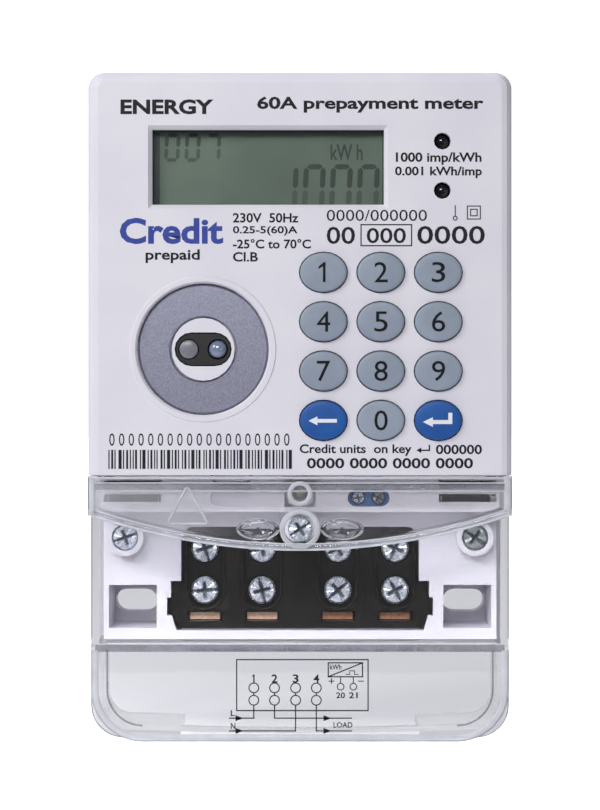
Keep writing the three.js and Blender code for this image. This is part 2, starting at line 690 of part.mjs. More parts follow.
// Sliding hook on the back, in a T-shaped slot of the base.
function hangerHook() {
  const z = [TOP - HANGER_HEIGHT, TOP - GAP];
  const plateBack = HANGER_NECK + GAP;
  const plateFront = plateBack + HANGER_PLATE;
  const hook = join(
    box(span(0, HANGER_NECK_HALF), z, [GAP, plateFront]),
    box(span(0, HANGER_HALF), z, [plateBack, plateFront]),
  );
  return hook.subtract(bar(0, TOP - HANGER_EYE_DROP, HANGER_EYE, [-OVERRUN, plateFront + OVERRUN]));
}

// ================================================================ terminal cover

// The raised zone: straight at the top, and an arc below.
function raisedOutline(inset, top) {
  const half = HALF - inset;
  const radius = smileRadius - inset;
  const reach = Math.asin(half / radius);
  const outline = new THREE.Shape();
  outline.moveTo(half, top);
  outline.lineTo(-half, top);
  outline.absarc(0, smileLow + smileRadius, radius, -Math.PI / 2 - reach, -Math.PI / 2 + reach);
  outline.lineTo(half, top);
  outline.closePath();
  return outline;
}

function lowerOutline(inset, top) {
  const half = HALF - inset;
  const low = BOTTOM + inset;
  const radius = COVER_CORNER - inset;
  const cornerZ = low + COVER_BULGE + radius;
  const outline = new THREE.Shape();
  outline.moveTo(half, top);
  outline.lineTo(-half, top);
  outline.absarc(-half + radius, cornerZ, radius, Math.PI, 1.5 * Math.PI);
  outline.quadraticCurveTo(0, low - COVER_BULGE, half - radius, low + COVER_BULGE);
  outline.absarc(half - radius, cornerZ, radius, -Math.PI / 2, 0);
  outline.lineTo(half, top);
  outline.closePath();
  return outline;
}

// A pointed oval between two arcs.
function wingOutline(x, z, width, height) {
  const half = width / 2;
  const rise = height / 2;
  const radius = (half ** 2 + rise ** 2) / (2 * rise);
  const reach = Math.asin(half / radius);
  const up = Math.PI / 2;
  const outline = new THREE.Shape();
  outline.absarc(x, z + rise - radius, radius, up - reach, up + reach);
  outline.absarc(x, z - rise + radius, radius, -up - reach, -up + reach);
  return outline;
}

const screwZ = SPLIT - COVER_SCREW_DROP;
const headFront = DEPTH - HEAD_RECESS;
const headBack = headFront - HEAD_HEIGHT;
const coverBossBack = PANEL_DEPTH - COVER_WALL + 2 * GAP;
const collarBack = coverBossBack + GAP;
const collarBoreEnd = collarBack + COLLAR_THICKNESS + SCREW_TRAVEL + GAP;

function terminalCover() {
  const frontBack = DEPTH - COVER_WALL;
  const panelBack = PANEL_DEPTH - COVER_WALL;
  const innerHalf = HALF - COVER_WALL + OVERLAP;
  const beyond = COVER_TOP + OVERRUN;
  const outside = join(
    softPlate(raisedOutline(0, COVER_TOP), [COVER_BACK, DEPTH], COVER_FILLET, 2, 12),
    softPlate(lowerOutline(0, COVER_TOP), [COVER_BACK, PANEL_DEPTH], COVER_FILLET, 2, 4),
  );
  const inside = join(
    plate(raisedOutline(COVER_WALL, beyond), [COVER_BACK - OVERRUN, frontBack], 12),
    plate(lowerOutline(COVER_WALL, beyond), [COVER_BACK - OVERRUN, panelBack], 4),
  );
  const webTop = CASE_BOTTOM - COVER_CLEARANCE;
  const web = [webTop - WEB_THICKNESS, webTop];
  const ribTop = SPLIT - RIB_DROP;
  const postZ = SPLIT - SWITCH_POST_DROP;
  const additions = [
    box(span(0, innerHalf), web, [WEB_BACK, panelBack + OVERLAP]),
    box(span(0, innerHalf), [ribTop - RIB_HEIGHT, ribTop], [frontBack - RIB_DEPTH, frontBack + OVERLAP]),
    bar(0, postZ, SWITCH_POST_RADIUS, [LEDGE_DEPTH - SWITCH_POST_REACH, DEPTH - COVER_FILLET], 14),
    bar(0, screwZ, COVER_BOSS_RADIUS, [LEDGE_DEPTH + COVER_CLEARANCE, DEPTH - COVER_FILLET], 20),
    bar(0, screwZ, COLLAR_RADIUS + GAP + COLLAR_BOSS_WALL, [coverBossBack, DEPTH - COVER_WALL]),
  ];
  for (const side of [-1, 1]) {
    for (const drop of HOOK_SLOT_DROPS) {
      const x = mirrored(side, HOOK_INNER + GAP, HOOK_OUTER - GAP);
      const z = span(SPLIT - drop, HOOK_SLOT_HEIGHT / 2 - GAP);
      additions.push(box(x, z, [LEDGE_DEPTH - HOOK_REACH, frontBack + OVERLAP]));
    }
  }
  const cableX = span(0, CABLE_SLOT_HALF);
  const cableDepths = [COVER_BACK - OVERRUN, CABLE_SLOT_DEPTH];
  const wing = plate(
    wingOutline(0, screwZ, WING_SPAN, WING_HEIGHT),
    [DEPTH - WING_DEPTH, DEPTH + OVERRUN],
    5,
  );
  const cuts = [
    box(cableX, [BOTTOM - OVERRUN, BOTTOM + COVER_BULGE + COVER_WALL + OVERRUN], cableDepths),
    box(cableX, [web[0] - OVERRUN, web[1] + OVERRUN], cableDepths),
    wing.subtract(bar(0, screwZ, COVER_BOSS_RADIUS, [COVER_BACK, DEPTH + 2], 20)),
    bar(0, postZ, POST_DIMPLE, [DEPTH - 3 * COVER_WALL, DEPTH + OVERRUN], 10),
    bar(0, screwZ, COVER_SCREW_SHANK + GAP, [coverBossBack - OVERRUN, DEPTH + OVERRUN]),
    bar(0, screwZ, COVER_SCREW_HEAD + GAP, [headBack - GAP, DEPTH + OVERRUN]),
    bar(0, screwZ, COLLAR_RADIUS + GAP, [coverBossBack - OVERRUN, collarBoreEnd]),
  ];
  return cut(join(outside.subtract(inside), ...additions), ...cuts);
}

// ================================================================ fasteners

// A screw about its own origin, which is under the head. The head faces -Y.
function screw({ head, headHeight, shank, length, recess }) {
  const profile = [
    [0, -headHeight],
    [head * HEAD_CROWN.width, -headHeight],
    [head, -headHeight * HEAD_CROWN.height],
    [head, 0],
    [shank, 0],
    [shank, length],
    [0, length],
  ];
  const points = profile.map(([x, y]) => new THREE.Vector2(x, y));
  const body = solid(new THREE.LatheGeometry(points, 12));
  const { long, wide, deep } = recess;
  const depths = [headHeight - deep, headHeight + OVERRUN];
  return cut(body, box(span(0, long), span(0, wide), depths), box(span(0, wide), span(0, long), depths));
}

function collar() {
  const ring = bar(0, 0, COLLAR_RADIUS, [0, COLLAR_THICKNESS], 16);
  return ring.subtract(bar(0, 0, COVER_SCREW_SHANK + GAP, [-OVERRUN, COLLAR_THICKNESS + OVERRUN], 12));
}

// ================================================================ display and keypad

function lcdFrame() {
  const outer = GLASS_WIDTH + 2 * (GAP + FRAME_WALL);
  const outerHeight = GLASS_HEIGHT + 2 * (GAP + FRAME_WALL);
  const depths = [BOARD_FRONT + GAP, GLASS_FRONT];
  return cut(
    plate(centred(0, 0, outer, outerHeight), depths),
    plate(centred(0, 0, GLASS_WIDTH + 2 * GAP, GLASS_HEIGHT + 2 * GAP), [0, DEPTH]),
  );
}

function keypadMat() {
  const halfX = KEY_PITCH_X + KEY_WIDTH / 2 + KEY_FLANGE + MAT_MARGIN;
  const reachZ = KEY_HEIGHT / 2 + KEY_FLANGE + MAT_MARGIN;
  const top = TOP - KEY_DROP;
  const low = top - (KEY_ROWS.length - 1) * KEY_PITCH_Z;
  const back = BOARD_FRONT + GAP;
  const outline = rectangle(span(KEY_X, halfX), [low - reachZ, top + reachZ], MAT_MARGIN);
  const holes = keyPlaces().map(({ x, z }) => bar(x, z, PILL_RADIUS + 2 * GAP, [0, DEPTH], 8));
  return cut(plate(outline, [back, back + MAT_THICKNESS], 2), ...holes);
}

// A key about its own origin, which lies on the face plane.
function key() {
  const flangeFront = -FACE_WALL - 2 * GAP;
  const flangeBack = flangeFront - KEY_FLANGE_HEIGHT;
  const pillBack = BOARD_FRONT + GAP - DEPTH + KEY_TRAVEL + GAP;
  const flange = ellipse(KEY_WIDTH + 2 * KEY_FLANGE, KEY_HEIGHT + 2 * KEY_FLANGE);
  return join(
    softPlate(ellipse(KEY_WIDTH, KEY_HEIGHT), [flangeBack, KEY_PROUD], KEY_BEVEL, 1, KEY_CURVE),
    plate(flange, [flangeBack, flangeFront], KEY_CURVE),
    bar(0, 0, PILL_RADIUS, [pillBack, flangeBack + OVERLAP], 8),
  );
}

// A round lamp about its own origin, which is at its flat back.
function lamp(radius, length, rim = 0) {
  const dome = radius * LAMP_DOME.height;
  const profile = [[0, 0], [radius + rim, 0], [radius + rim, -LAMP_RIM_HEIGHT]];
  if (rim > 0) {
    profile.push([radius, -LAMP_RIM_HEIGHT]);
  }
  profile.push([radius, dome - length]);
  profile.push([radius * LAMP_DOME.width, dome * LAMP_DOME.shoulder - length]);
  profile.push([0, -length]);
  const points = profile.map(([x, y]) => new THREE.Vector2(x, y)).reverse();
  return solid(new THREE.LatheGeometry(points, 12));
}

function opticalInsert() {
  const outline = stadium(0, 0, SLOT_WIDTH - 2 * GAP, SLOT_HEIGHT - 2 * GAP);
  const body = plate(outline, [BOARD_FRONT + GAP, RING_FRONT - 2 * GAP], 4);
  const bores = bothSides((side) => bar(side * DIODE_OFFSET, 0, DIODE_RADIUS + GAP, [0, DEPTH], 14));
  return cut(body, ...bores);
}

function opticalRing() {
  const ring = bar(0, 0, RING_RADIUS, [RING_BACK, RING_FRONT], 40);
  return ring.subtract(bar(0, 0, RING_HOLE_RADIUS, [0, DEPTH], 24));
}

// ================================================================ terminals

const clampCavity = [CLAMP_BACK - GAP, CLAMP_FRONT + GAP];
const busbarDepths = [BUSBAR_DEPTH, BUSBAR_DEPTH + BUSBAR_THICKNESS];

function terminalBlock() {
  const counterbore = BLOCK_DEPTH - COUNTERBORE_DEPTH;
  const windowTop = CLAMP_BOTTOM - TONGUE_DROP + TONGUE_THICKNESS / 3;
  const windowLow = CLAMP_BOTTOM - TONGUE_DROP - TONGUE_THICKNESS - GAP;
  const body = plate(blockOutline(0), [BACK_WALL + GAP, BLOCK_DEPTH], 3);
  const cuts = [];
  for (const x of TERMINALS) {
    const halfX = span(x, CLAMP_HALF + GAP);
    cuts.push(box(halfX, [BLOCK_BOTTOM - OVERRUN, CLAMP_TOP + GAP], clampCavity));
    cuts.push(box(halfX, [BLOCK_BOTTOM - OVERRUN, windowTop], [CLAMP_FRONT, TONGUE_FRONT + GAP]));
    cuts.push(box(halfX, [windowLow, windowTop], [CLAMP_FRONT, BLOCK_DEPTH + OVERRUN]));
    const channelLow = BLOCK_TOP - SCREW_DROPS[1] - CHANNEL_HALF;
    const channelZ = [channelLow, BLOCK_TOP + 2 * CHANNEL_HALF];
    const channel = rectangle(span(x, CHANNEL_HALF), channelZ, CHANNEL_CORNER);
    cuts.push(plate(channel, [BLOCK_DEPTH - CHANNEL_DEPTH, BLOCK_DEPTH + OVERRUN], 3));
    for (const drop of SCREW_DROPS) {
      cuts.push(bar(x, BLOCK_TOP - drop, COUNTERBORE_RADIUS, [counterbore, BLOCK_DEPTH + OVERRUN]));
      cuts.push(bar(x, BLOCK_TOP - drop, TERMINAL_SHANK + GAP, [CLAMP_FRONT, BLOCK_DEPTH], 12));
    }
    cuts.push(box(
      span(x, BUSBAR_HALF + GAP),
      [CLAMP_TOP, BLOCK_TOP + OVERRUN],
      [BUSBAR_DEPTH - GAP, BUSBAR_DEPTH + BUSBAR_THICKNESS + GAP],
    ));
  }
  return cut(body, ...cuts);
}

// A brass clamp about its own origin, which is on the conductor's axis at the clamp's top.
function terminalClamp() {
  const back = CLAMP_BACK - CABLE_AXIS;
  const front = CLAMP_FRONT - CABLE_AXIS;
  const tongueBack = CABLE_RADIUS + TONGUE_BACK;
  const tongueTop = -CLAMP_HEIGHT - TONGUE_DROP;
  const tongue = [tongueTop - TONGUE_THICKNESS, tongueTop];
  const rootDepths = [tongueBack, tongueBack + TONGUE_THICKNESS];
  const body = join(
    box(span(0, CLAMP_HALF), [-CLAMP_HEIGHT, 0], [back, front]),
    box(span(0, TONGUE_HALF), [tongue[0], OVERLAP - CLAMP_HEIGHT], rootDepths),
    box(span(0, TONGUE_HALF), tongue, [tongueBack, TONGUE_FRONT - CABLE_AXIS]),
  );
  const threads = SCREW_DROPS.map((drop) => {
    const z = CLAMP_DROP - drop;
    return bar(0, z, TERMINAL_SHANK + GAP, [0, front + OVERRUN], 12);
  });
  return cut(body, column(0, 0, CABLE_RADIUS, [-CLAMP_HEIGHT - OVERRUN, OVERRUN]), ...threads);
}

function busbar(x, top) {
  return box(span(x, BUSBAR_HALF), [CLAMP_TOP + GAP, top], busbarDepths);
}

function neutralLink() {
  const top = BLOCK_TOP + 3 * BUSBAR_HALF;
  const bridge = box(
    [INNER_TERMINAL - BUSBAR_HALF, OUTER_TERMINAL + BUSBAR_HALF],
    [top - 2 * BUSBAR_HALF, top],
    busbarDepths,
  );
  return join(busbar(INNER_TERMINAL, top), busbar(OUTER_TERMINAL, top), bridge);
}

// The shunt is thinner across its middle, where the resistance alloy is.
function shuntBusbar(top) {
  const neck = BUSBAR_HALF * SHUNT_NECK;
  const middle = (BLOCK_TOP + top) / 2;
  const notches = bothSides((side) => {
    const x = -OUTER_TERMINAL + side * (neck + BUSBAR_HALF);
    return box(span(x, BUSBAR_HALF), span(middle, BUSBAR_HALF), [0, BASE_DEPTH]);
  });
  return cut(busbar(-OUTER_TERMINAL, top), ...notches);
}

const auxFront = LEDGE_DEPTH - CASE_WALL - GAP;
const auxHeadBack = auxFront - AUX_HEAD_HEIGHT - AUX_SINK;

function auxTerminal() {
  const z = [LEDGE_INSIDE + GAP, BOARD_LOW - GAP];
  const tailFront = Math.min(auxFront, BOARD_BACK - GAP);
  const entryDepths = AUX_ENTRY.depths.map((depth) => FLANGE_DEPTH + depth);
  const body = join(
    box(span(AUX_X, AUX_PITCH), z, [auxFront - AUX_REACH, auxFront]),
    box(span(AUX_X, AUX_PITCH), [z[0], BOARD_LOW + AUX_TAIL], [auxFront - AUX_REACH, tailFront]),
  );
  const shankEnd = auxHeadBack - AUX_SHANK_LENGTH - OVERRUN;
  const cuts = [];
  for (const side of [-1, 1]) {
    const x = AUX_X + (side * AUX_PITCH) / 2;
    const axis = [x, SPLIT - AUX_DROP];
    cuts.push(bar(...axis, AUX_HEAD + GAP, [auxHeadBack - GAP, auxFront + OVERRUN], 12));
    cuts.push(bar(...axis, AUX_SHANK + GAP, [shankEnd, auxFront], 10));
    cuts.push(box(span(x, AUX_ENTRY.half), [z[0] - OVERRUN, z[0] + AUX_ENTRY.height], entryDepths));
  }
  return cut(body, ...cuts);
}

// ================================================================ electronics

const switchZ = SPLIT - SWITCH_POST_DROP;
const plungerFront = LEDGE_DEPTH - SWITCH_POST_REACH - GAP;
const switchFront = plungerFront - PLUNGER_SHOWN;

function tamperSwitch() {
  const low = LEDGE_INSIDE + GAP;
  const depths = [switchFront - SWITCH.depth, switchFront];
  const body = box(span(0, SWITCH.half), [low, low + SWITCH.height], depths);
  const bore = [switchFront - 3 * PLUNGER_STROKE, switchFront + OVERRUN];
  return body.subtract(bar(0, switchZ, PLUNGER_RADIUS + GAP, bore, 12));
}

// Laminated core with the winding's bobbin through it.
function transformer() {
  const { x, low, width, height, depth } = TRANSFORMER;
  const z = SPLIT + low + height / 2;
  const back = BACK_WALL + GAP;
  const coreDepths = [back + BOBBIN_SHOWN, back + depth - BOBBIN_SHOWN];
  const core = box(span(x, width / 2), span(z, height / 2), coreDepths);
  const bobbin = box(span(x, width / 4), span(z, height / 2 - BOBBIN_SHOWN), [back, back + depth]);
  return join(core, bobbin);
}

function relay() {
  const { x, low, width, height, depth } = RELAY;
  const back = BACK_WALL + GAP;
  const outline = rectangle(span(x, width / 2), [SPLIT + low, SPLIT + low + height], 1.5);
  return plate(outline, [back, back + depth], 2);
}

function battery() {
  const { radius, length } = BATTERY;
  const geometry = new THREE.CylinderGeometry(radius, radius, length, 20);
  geometry.rotateZ(Math.PI / 2);
  const can = solid(geometry);
  const cap = new THREE.CylinderGeometry(radius / 3, radius / 3, 1.5, 12);
  cap.rotateZ(Math.PI / 2);
  cap.translate(length / 2 + 0.5, 0, 0);
  return can.add(solid(cap));
}

function mainBoard() {
  const half = HALF - CASE_WALL - BOARD_MARGIN;
  const z = [BOARD_LOW, TOP - CASE_WALL - BOARD_MARGIN];
  const board = box(span(0, half), z, [BOARD_BACK, BOARD_FRONT]);
  const holes = [];
  for (const side of [-1, 1]) {
    for (const height of postZ) {
      holes.push(bar(side * postX, height, POST_HOLE, [0, DEPTH], 10));
    }
  }
  return cut(board, ...holes);
}

// ================================================================ assembly

function look(color, roughness, metalness = 0, more = {}) {
  return new THREE.MeshStandardMaterial({ color, roughness, metalness, ...more });
}

const looks = {
  white: () => look(0xe4e2ea, 0.42),
  clear: () => look(0xe6ebf2, 0.08, 0, { transparent: true, opacity: 0.35 }),
  window: () => look(0xdfe6e2, 0.06, 0, { transparent: true, opacity: 0.3 }),
  key: () => look(0x9aa4b5, 0.55),
  blueKey: () => look(0x1d57a8, 0.5),
  screw: () => look(0xcfd4da, 0.28, 0.9),
  steel: () => look(0xb9bbc6, 0.35, 0.85),
  black: () => look(0x17171a, 0.5),
  block: () => look(0x2c2826, 0.55),
  copper: () => look(0xc98a63, 0.32, 0.9),
  board: () => look(0x1f5a3c, 0.5),
  glass: () => look(0x6c7a6f, 0.2),
  pale: () => look(0xf1f1ec, 0.5),
  blue: () => look(0x2463b0, 0.45),
  lens: () => look(0xaab4c2, 0.1),
  grey: () => look(0x8e9094, 0.5),
};

function geometryOf(body) {
  const { vertProperties, triVerts } = body.getMesh();
  const geometry = new THREE.BufferGeometry();
  geometry.setAttribute('position', new THREE.BufferAttribute(vertProperties, 3));
  geometry.setIndex(new THREE.BufferAttribute(triVerts, 1));
  geometry.computeVertexNormals();
  return geometry;
}

// Adds one named piece to a group, with its origin at X, Z and a depth.
function place(group, name, body, material, [x, z, depth] = [0, 0, 0]) {
  const mesh = new THREE.Mesh(geometryOf(body), material());
  mesh.name = name;
  mesh.position.set(x, -depth, z);
  group.add(mesh);
}

function caseGroup() {
  const group = new THREE.Group();
  place(group, 'rear_base', rearBase(), looks.white);
  place(group, 'front_cover', frontCover(), looks.white);
  place(group, 'hanger_hook', hangerHook(), looks.grey);
  const seat = BOSS_DEPTH - SCREW_POCKET + GAP;
  for (const [side, name] of [[-1, 'case_screw_left'], [1, 'case_screw_right']]) {
    const body = screw({
      head: CASE_SCREW_HEAD,
      headHeight: CASE_SCREW_HEAD_HEIGHT,
      shank: CASE_SCREW_SHANK,
      length: CASE_SCREW_LENGTH,
      recess: RECESS_CASE,
    });
    place(group, name, body, looks.screw, [side * CASE_SCREW_X, SPLIT - CASE_SCREW_DROP, seat]);
  }
  return group;
}

function displayGroup() {
  const group = new THREE.Group();
  group.position.set(DISPLAY_X, 0, DISPLAY_Z);
  const windowWidth = OPENING_WIDTH + 2 * WINDOW_MARGIN;
  const windowHeight = OPENING_HEIGHT + 2 * WINDOW_MARGIN;
  const windowBack = WINDOW_FRONT - WINDOW_THICKNESS;
  const pane = plate(centred(0, 0, windowWidth, windowHeight, 1), [windowBack, WINDOW_FRONT], 2);
  place(group, 'lcd_window', pane, looks.window);
  const glass = centred(0, 0, GLASS_WIDTH, GLASS_HEIGHT);
  place(group, 'lcd_panel', plate(glass, [GLASS_FRONT - GLASS_THICKNESS, GLASS_FRONT]), looks.glass);
  const lightBack = BACKLIGHT_FRONT - BACKLIGHT_THICKNESS;
  place(group, 'lcd_backlight', plate(glass, [lightBack, BACKLIGHT_FRONT]), looks.pale);
  place(group, 'lcd_frame', lcdFrame(), looks.black);
  return group;
}

function keypadGroup() {
  const group = new THREE.Group();
  place(group, 'keypad_mat', keypadMat(), looks.grey);
  for (const { name, x, z } of keyPlaces()) {
    const blue = name === 'key_back' || name === 'key_enter';
    place(group, name, key(), blue ? looks.blueKey : looks.key, [x, z, DEPTH]);
  }
  return group;
}

function signalGroup() {
  const group = new THREE.Group();
  const ledBack = BOARD_FRONT + GAP;
  ['pulse_led', 'alarm_led'].forEach((name, i) => {
    const body = lamp(LED_RADIUS, DEPTH - LED_RECESS - ledBack, LAMP_RIM);
    place(group, name, body, looks.black, [LED_X, TOP - LED_DROPS[i], ledBack]);
  });
  place(group, 'optical_ring', opticalRing(), looks.steel, [PORT_X, PORT_Z, 0]);
  place(group, 'optical_insert', opticalInsert(), looks.black, [PORT_X, PORT_Z, 0]);
  for (const [side, name] of [[-1, 'optical_emitter'], [1, 'optical_receiver']]) {
    const body = lamp(DIODE_RADIUS, RING_FRONT - ledBack);
    place(group, name, body, looks.lens, [PORT_X + side * DIODE_OFFSET, PORT_Z, ledBack]);
  }
  return group;
}

function terminalGroup() {
  const group = new THREE.Group();
  place(group, 'terminal_block', terminalBlock(), looks.block);
  const seat = BLOCK_DEPTH - COUNTERBORE_DEPTH + GAP;
  TERMINALS.forEach((x, i) => {
    place(group, `terminal_clamp_${i + 1}`, terminalClamp(), looks.copper, [x, CLAMP_TOP, CABLE_AXIS]);
    ['upper', 'lower'].forEach((level, row) => {
      const body = screw({
        head: TERMINAL_HEAD,
        headHeight: TERMINAL_HEAD_HEIGHT,
        shank: TERMINAL_SHANK,
        length: seat - CABLE_AXIS - CABLE_RADIUS - GAP,
        recess: RECESS_CLAMP,
      });
      const name = `terminal_screw_${i + 1}_${level}`;
      place(group, name, body, looks.screw, [x, BLOCK_TOP - SCREW_DROPS[row], seat]);
    });
  });
  place(group, 'aux_terminal', auxTerminal(), looks.blue);
  for (const [side, name] of [[-1, 'aux_screw_20'], [1, 'aux_screw_21']]) {
    const body = screw({
      head: AUX_HEAD,
      headHeight: AUX_HEAD_HEIGHT,
      shank: AUX_SHANK,
      length: AUX_SHANK_LENGTH,
      recess: RECESS_AUX,
    });
    const x = AUX_X + (side * AUX_PITCH) / 2;
    place(group, name, body, looks.screw, [x, SPLIT - AUX_DROP, auxHeadBack]);
  }
  const relayLow = SPLIT + RELAY.low - GAP;
  place(group, 'shunt_busbar', shuntBusbar(relayLow), looks.copper);
  place(group, 'load_busbar', busbar(-INNER_TERMINAL, relayLow), looks.copper);
  place(group, 'neutral_link', neutralLink(), looks.copper);
  return group;
}

function electronicsGroup() {
  const group = new THREE.Group();
  const back = BOARD_BACK - GAP; // pieces hang from the back of the board
  place(group, 'main_board', mainBoard(), looks.board);
  place(group, 'latching_relay', relay(), looks.black);
  place(group, 'transformer', transformer(), looks.grey);
  place(group, 'battery', battery(), looks.pale, [BATTERY.x, TOP - BATTERY.drop, back - BATTERY.radius]);
  const buzzer = bar(0, 0, BUZZER.radius, [-BUZZER.height, 0]);
  place(group, 'buzzer', buzzer, looks.black, [BUZZER.x, TOP - BUZZER.drop, back]);
  const chip = plate(centred(0, 0, CHIP.size, CHIP.size), [-CHIP.height, 0]);
  place(group, 'meter_chip', chip, looks.black, [CHIP.x, TOP - CHIP.drop, back]);
  const electrolytic = bar(0, 0, ELECTROLYTIC.radius, [-ELECTROLYTIC.length, 0]);
  place(group, 'electrolytic_capacitor', electrolytic, looks.black, [
    ELECTROLYTIC.x,
    TOP - ELECTROLYTIC.drop,
    back,
  ]);
  const film = plate(centred(0, 0, FILM.width, FILM.height, 1), [-FILM.depth, 0], 2);
  place(group, 'film_capacitor', film, looks.grey, [FILM.x, TOP - FILM.drop, back]);
  place(group, 'tamper_switch', tamperSwitch(), looks.black);
  const plunger = bar(0, 0, PLUNGER_RADIUS, [-PLUNGER_LENGTH, 0], 12);
  place(group, 'tamper_plunger', plunger, looks.pale, [0, switchZ, plungerFront]);
  return group;
}

function coverGroup() {
  const group = new THREE.Group();
  place(group, 'terminal_cover', terminalCover(), looks.clear);
  place(group, 'cover_screw_collar', collar(), looks.steel, [0, screwZ, collarBack]);
  const body = screw({
    head: COVER_SCREW_HEAD,
    headHeight: HEAD_HEIGHT,
    shank: COVER_SCREW_SHANK,
    length: headBack - (PANEL_DEPTH - COVER_WALL - THREAD_HOLD),
    recess: RECESS_COVER,
  });
  place(group, 'cover_screw', body, looks.screw, [0, screwZ, headBack]);
  return group;
}

const meter = new THREE.Group();
meter.add(caseGroup(), displayGroup(), keypadGroup(), signalGroup());
meter.add(terminalGroup(), electronicsGroup(), coverGroup());

export default meter;
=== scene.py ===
import math

import bmesh
import bpy
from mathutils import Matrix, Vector

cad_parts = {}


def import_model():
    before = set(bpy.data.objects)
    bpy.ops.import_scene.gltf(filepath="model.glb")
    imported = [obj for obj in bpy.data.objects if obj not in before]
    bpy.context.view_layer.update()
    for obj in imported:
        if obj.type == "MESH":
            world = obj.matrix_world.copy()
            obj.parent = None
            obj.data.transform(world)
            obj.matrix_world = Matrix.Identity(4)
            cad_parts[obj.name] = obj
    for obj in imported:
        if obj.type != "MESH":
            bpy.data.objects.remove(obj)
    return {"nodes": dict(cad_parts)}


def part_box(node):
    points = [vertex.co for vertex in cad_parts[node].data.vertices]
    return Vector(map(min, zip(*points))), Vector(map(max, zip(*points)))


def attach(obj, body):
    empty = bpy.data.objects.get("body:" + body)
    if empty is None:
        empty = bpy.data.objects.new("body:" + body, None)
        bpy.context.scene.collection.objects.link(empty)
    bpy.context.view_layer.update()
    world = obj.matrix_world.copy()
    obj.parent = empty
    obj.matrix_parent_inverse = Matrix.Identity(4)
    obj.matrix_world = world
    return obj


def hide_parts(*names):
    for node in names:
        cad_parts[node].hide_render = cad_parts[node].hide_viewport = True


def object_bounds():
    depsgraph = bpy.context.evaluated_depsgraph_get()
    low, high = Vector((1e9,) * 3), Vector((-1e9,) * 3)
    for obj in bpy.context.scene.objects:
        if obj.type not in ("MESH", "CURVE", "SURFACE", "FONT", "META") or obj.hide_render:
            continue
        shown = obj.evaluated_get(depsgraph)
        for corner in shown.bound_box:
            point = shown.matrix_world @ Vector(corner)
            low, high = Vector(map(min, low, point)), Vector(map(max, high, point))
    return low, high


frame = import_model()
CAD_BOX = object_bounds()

MM = 0.001
NODES = frame["nodes"]

# ---------------------------------------------------------------- places


def spot(x, z, depth):
    """A point given in millimetres: across, up, and out from the wall."""
    return Vector((x * MM, -depth * MM, z * MM))


def middle(node):
    """The centre of a CAD node in millimetres, as (x, z)."""
    low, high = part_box(node)
    return (low.x + high.x) / 2 / MM, (low.z + high.z) / 2 / MM


def front(node):
    """How far a CAD node's front stands from the wall, in millimetres."""
    return -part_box(node)[0].y / MM


# ---------------------------------------------------------------- materials


def add(look, kind, settings=None, **inputs):
    """Adds a shader node, sets its options, and fills or links its sockets."""
    tree = look.node_tree
    node = tree.nodes.new("ShaderNode" + kind)
    for key, value in (settings or {}).items():
        setattr(node, key, value)
    for key, value in inputs.items():
        feed(look, node.inputs[key.replace("_", " ")], value)
    return node


def feed(look, socket, value):
    """Links a node's output to a socket, or sets the socket's own value."""
    if isinstance(value, bpy.types.NodeSocket):
        look.node_tree.links.new(value, socket)
    else:
        socket.default_value = value


def new_look(name, **values):
    """A material with one Principled shader, its sockets set by name."""
    look = bpy.data.materials.new(name)
    look.use_nodes = True
    look.node_tree.nodes.clear()
    shader = add(look, "BsdfPrincipled")
    output = add(look, "OutputMaterial")
    feed(look, output.inputs["Surface"], shader.outputs[0])
    for key, value in values.items():
        shader.inputs[key.replace("_", " ")].default_value = value
    return look, shader


def colour(red, green, blue):
    """An sRGB colour of 0 to 255 as the linear colour a shader takes."""
    parts = []
    for value in (red, green, blue):
        share = value / 255
        parts.append(share / 12.92 if share <= 0.04045 else ((share + 0.055) / 1.055) ** 2.4)
    return (*parts, 1.0)


def noise(look, size, detail=3.0):
    """Noise whose features are about size millimetres across."""
    place = add(look, "TexCoord").outputs["Object"]
    return add(look, "TexNoise", Vector=place, Scale=1 / (size * MM), Detail=detail).outputs[0]


def ramp(look, factor, stops):
    """A colour ramp over a factor; each stop is (place, colour)."""
    node = add(look, "ValToRGB", Fac=factor)
    elements = node.color_ramp.elements
    while len(elements) < len(stops):
        elements.new(0.5)
    for element, (place, shade) in zip(elements, stops):
        element.position = place
        element.color = shade
    return node.outputs[0]


def between(look, factor, low, high):
    """The factor's 0 to 1 spread over low to high."""
    return add(look, "MapRange", Value=factor, To_Min=low, To_Max=high).outputs[0]


def bump(look, shader, height, depth):
    """Raises the surface by a height pattern, depth millimetres at most."""
    node = add(look, "Bump", Strength=1.0, Distance=depth * MM, Height=height)
    feed(look, shader.inputs["Normal"], node.outputs[0])


def moulded(name, shade, tint, rough, grain=0.35, relief=0.02, patch=18.0, **values):
    """Moulded plastic: faint flow patches, a spark-eroded grain and uneven gloss."""
    look, shader = new_look(name, **values)
    feed(look, shader.inputs["Base Color"],
         ramp(look, noise(look, patch), [(0.35, shade), (0.65, tint)]))
    feed(look, shader.inputs["Roughness"], between(look, noise(look, patch / 4), *rough))
    bump(look, shader, noise(look, grain, 2.0), relief)
    return look


def plated(name, shade, tint, rough, size=1.2, relief=0.01, metallic=1.0):
    """Plated or brushed metal: cloudy colour, uneven gloss and fine scratches."""
    look, shader = new_look(name, Metallic=metallic)
    cloud = noise(look, size, 4.0)
    feed(look, shader.inputs["Base Color"], ramp(look, cloud, [(0.3, shade), (0.7, tint)]))
    feed(look, shader.inputs["Roughness"], between(look, noise(look, size / 3), *rough))
    bump(look, shader, noise(look, size / 5, 2.0), relief)
    return look


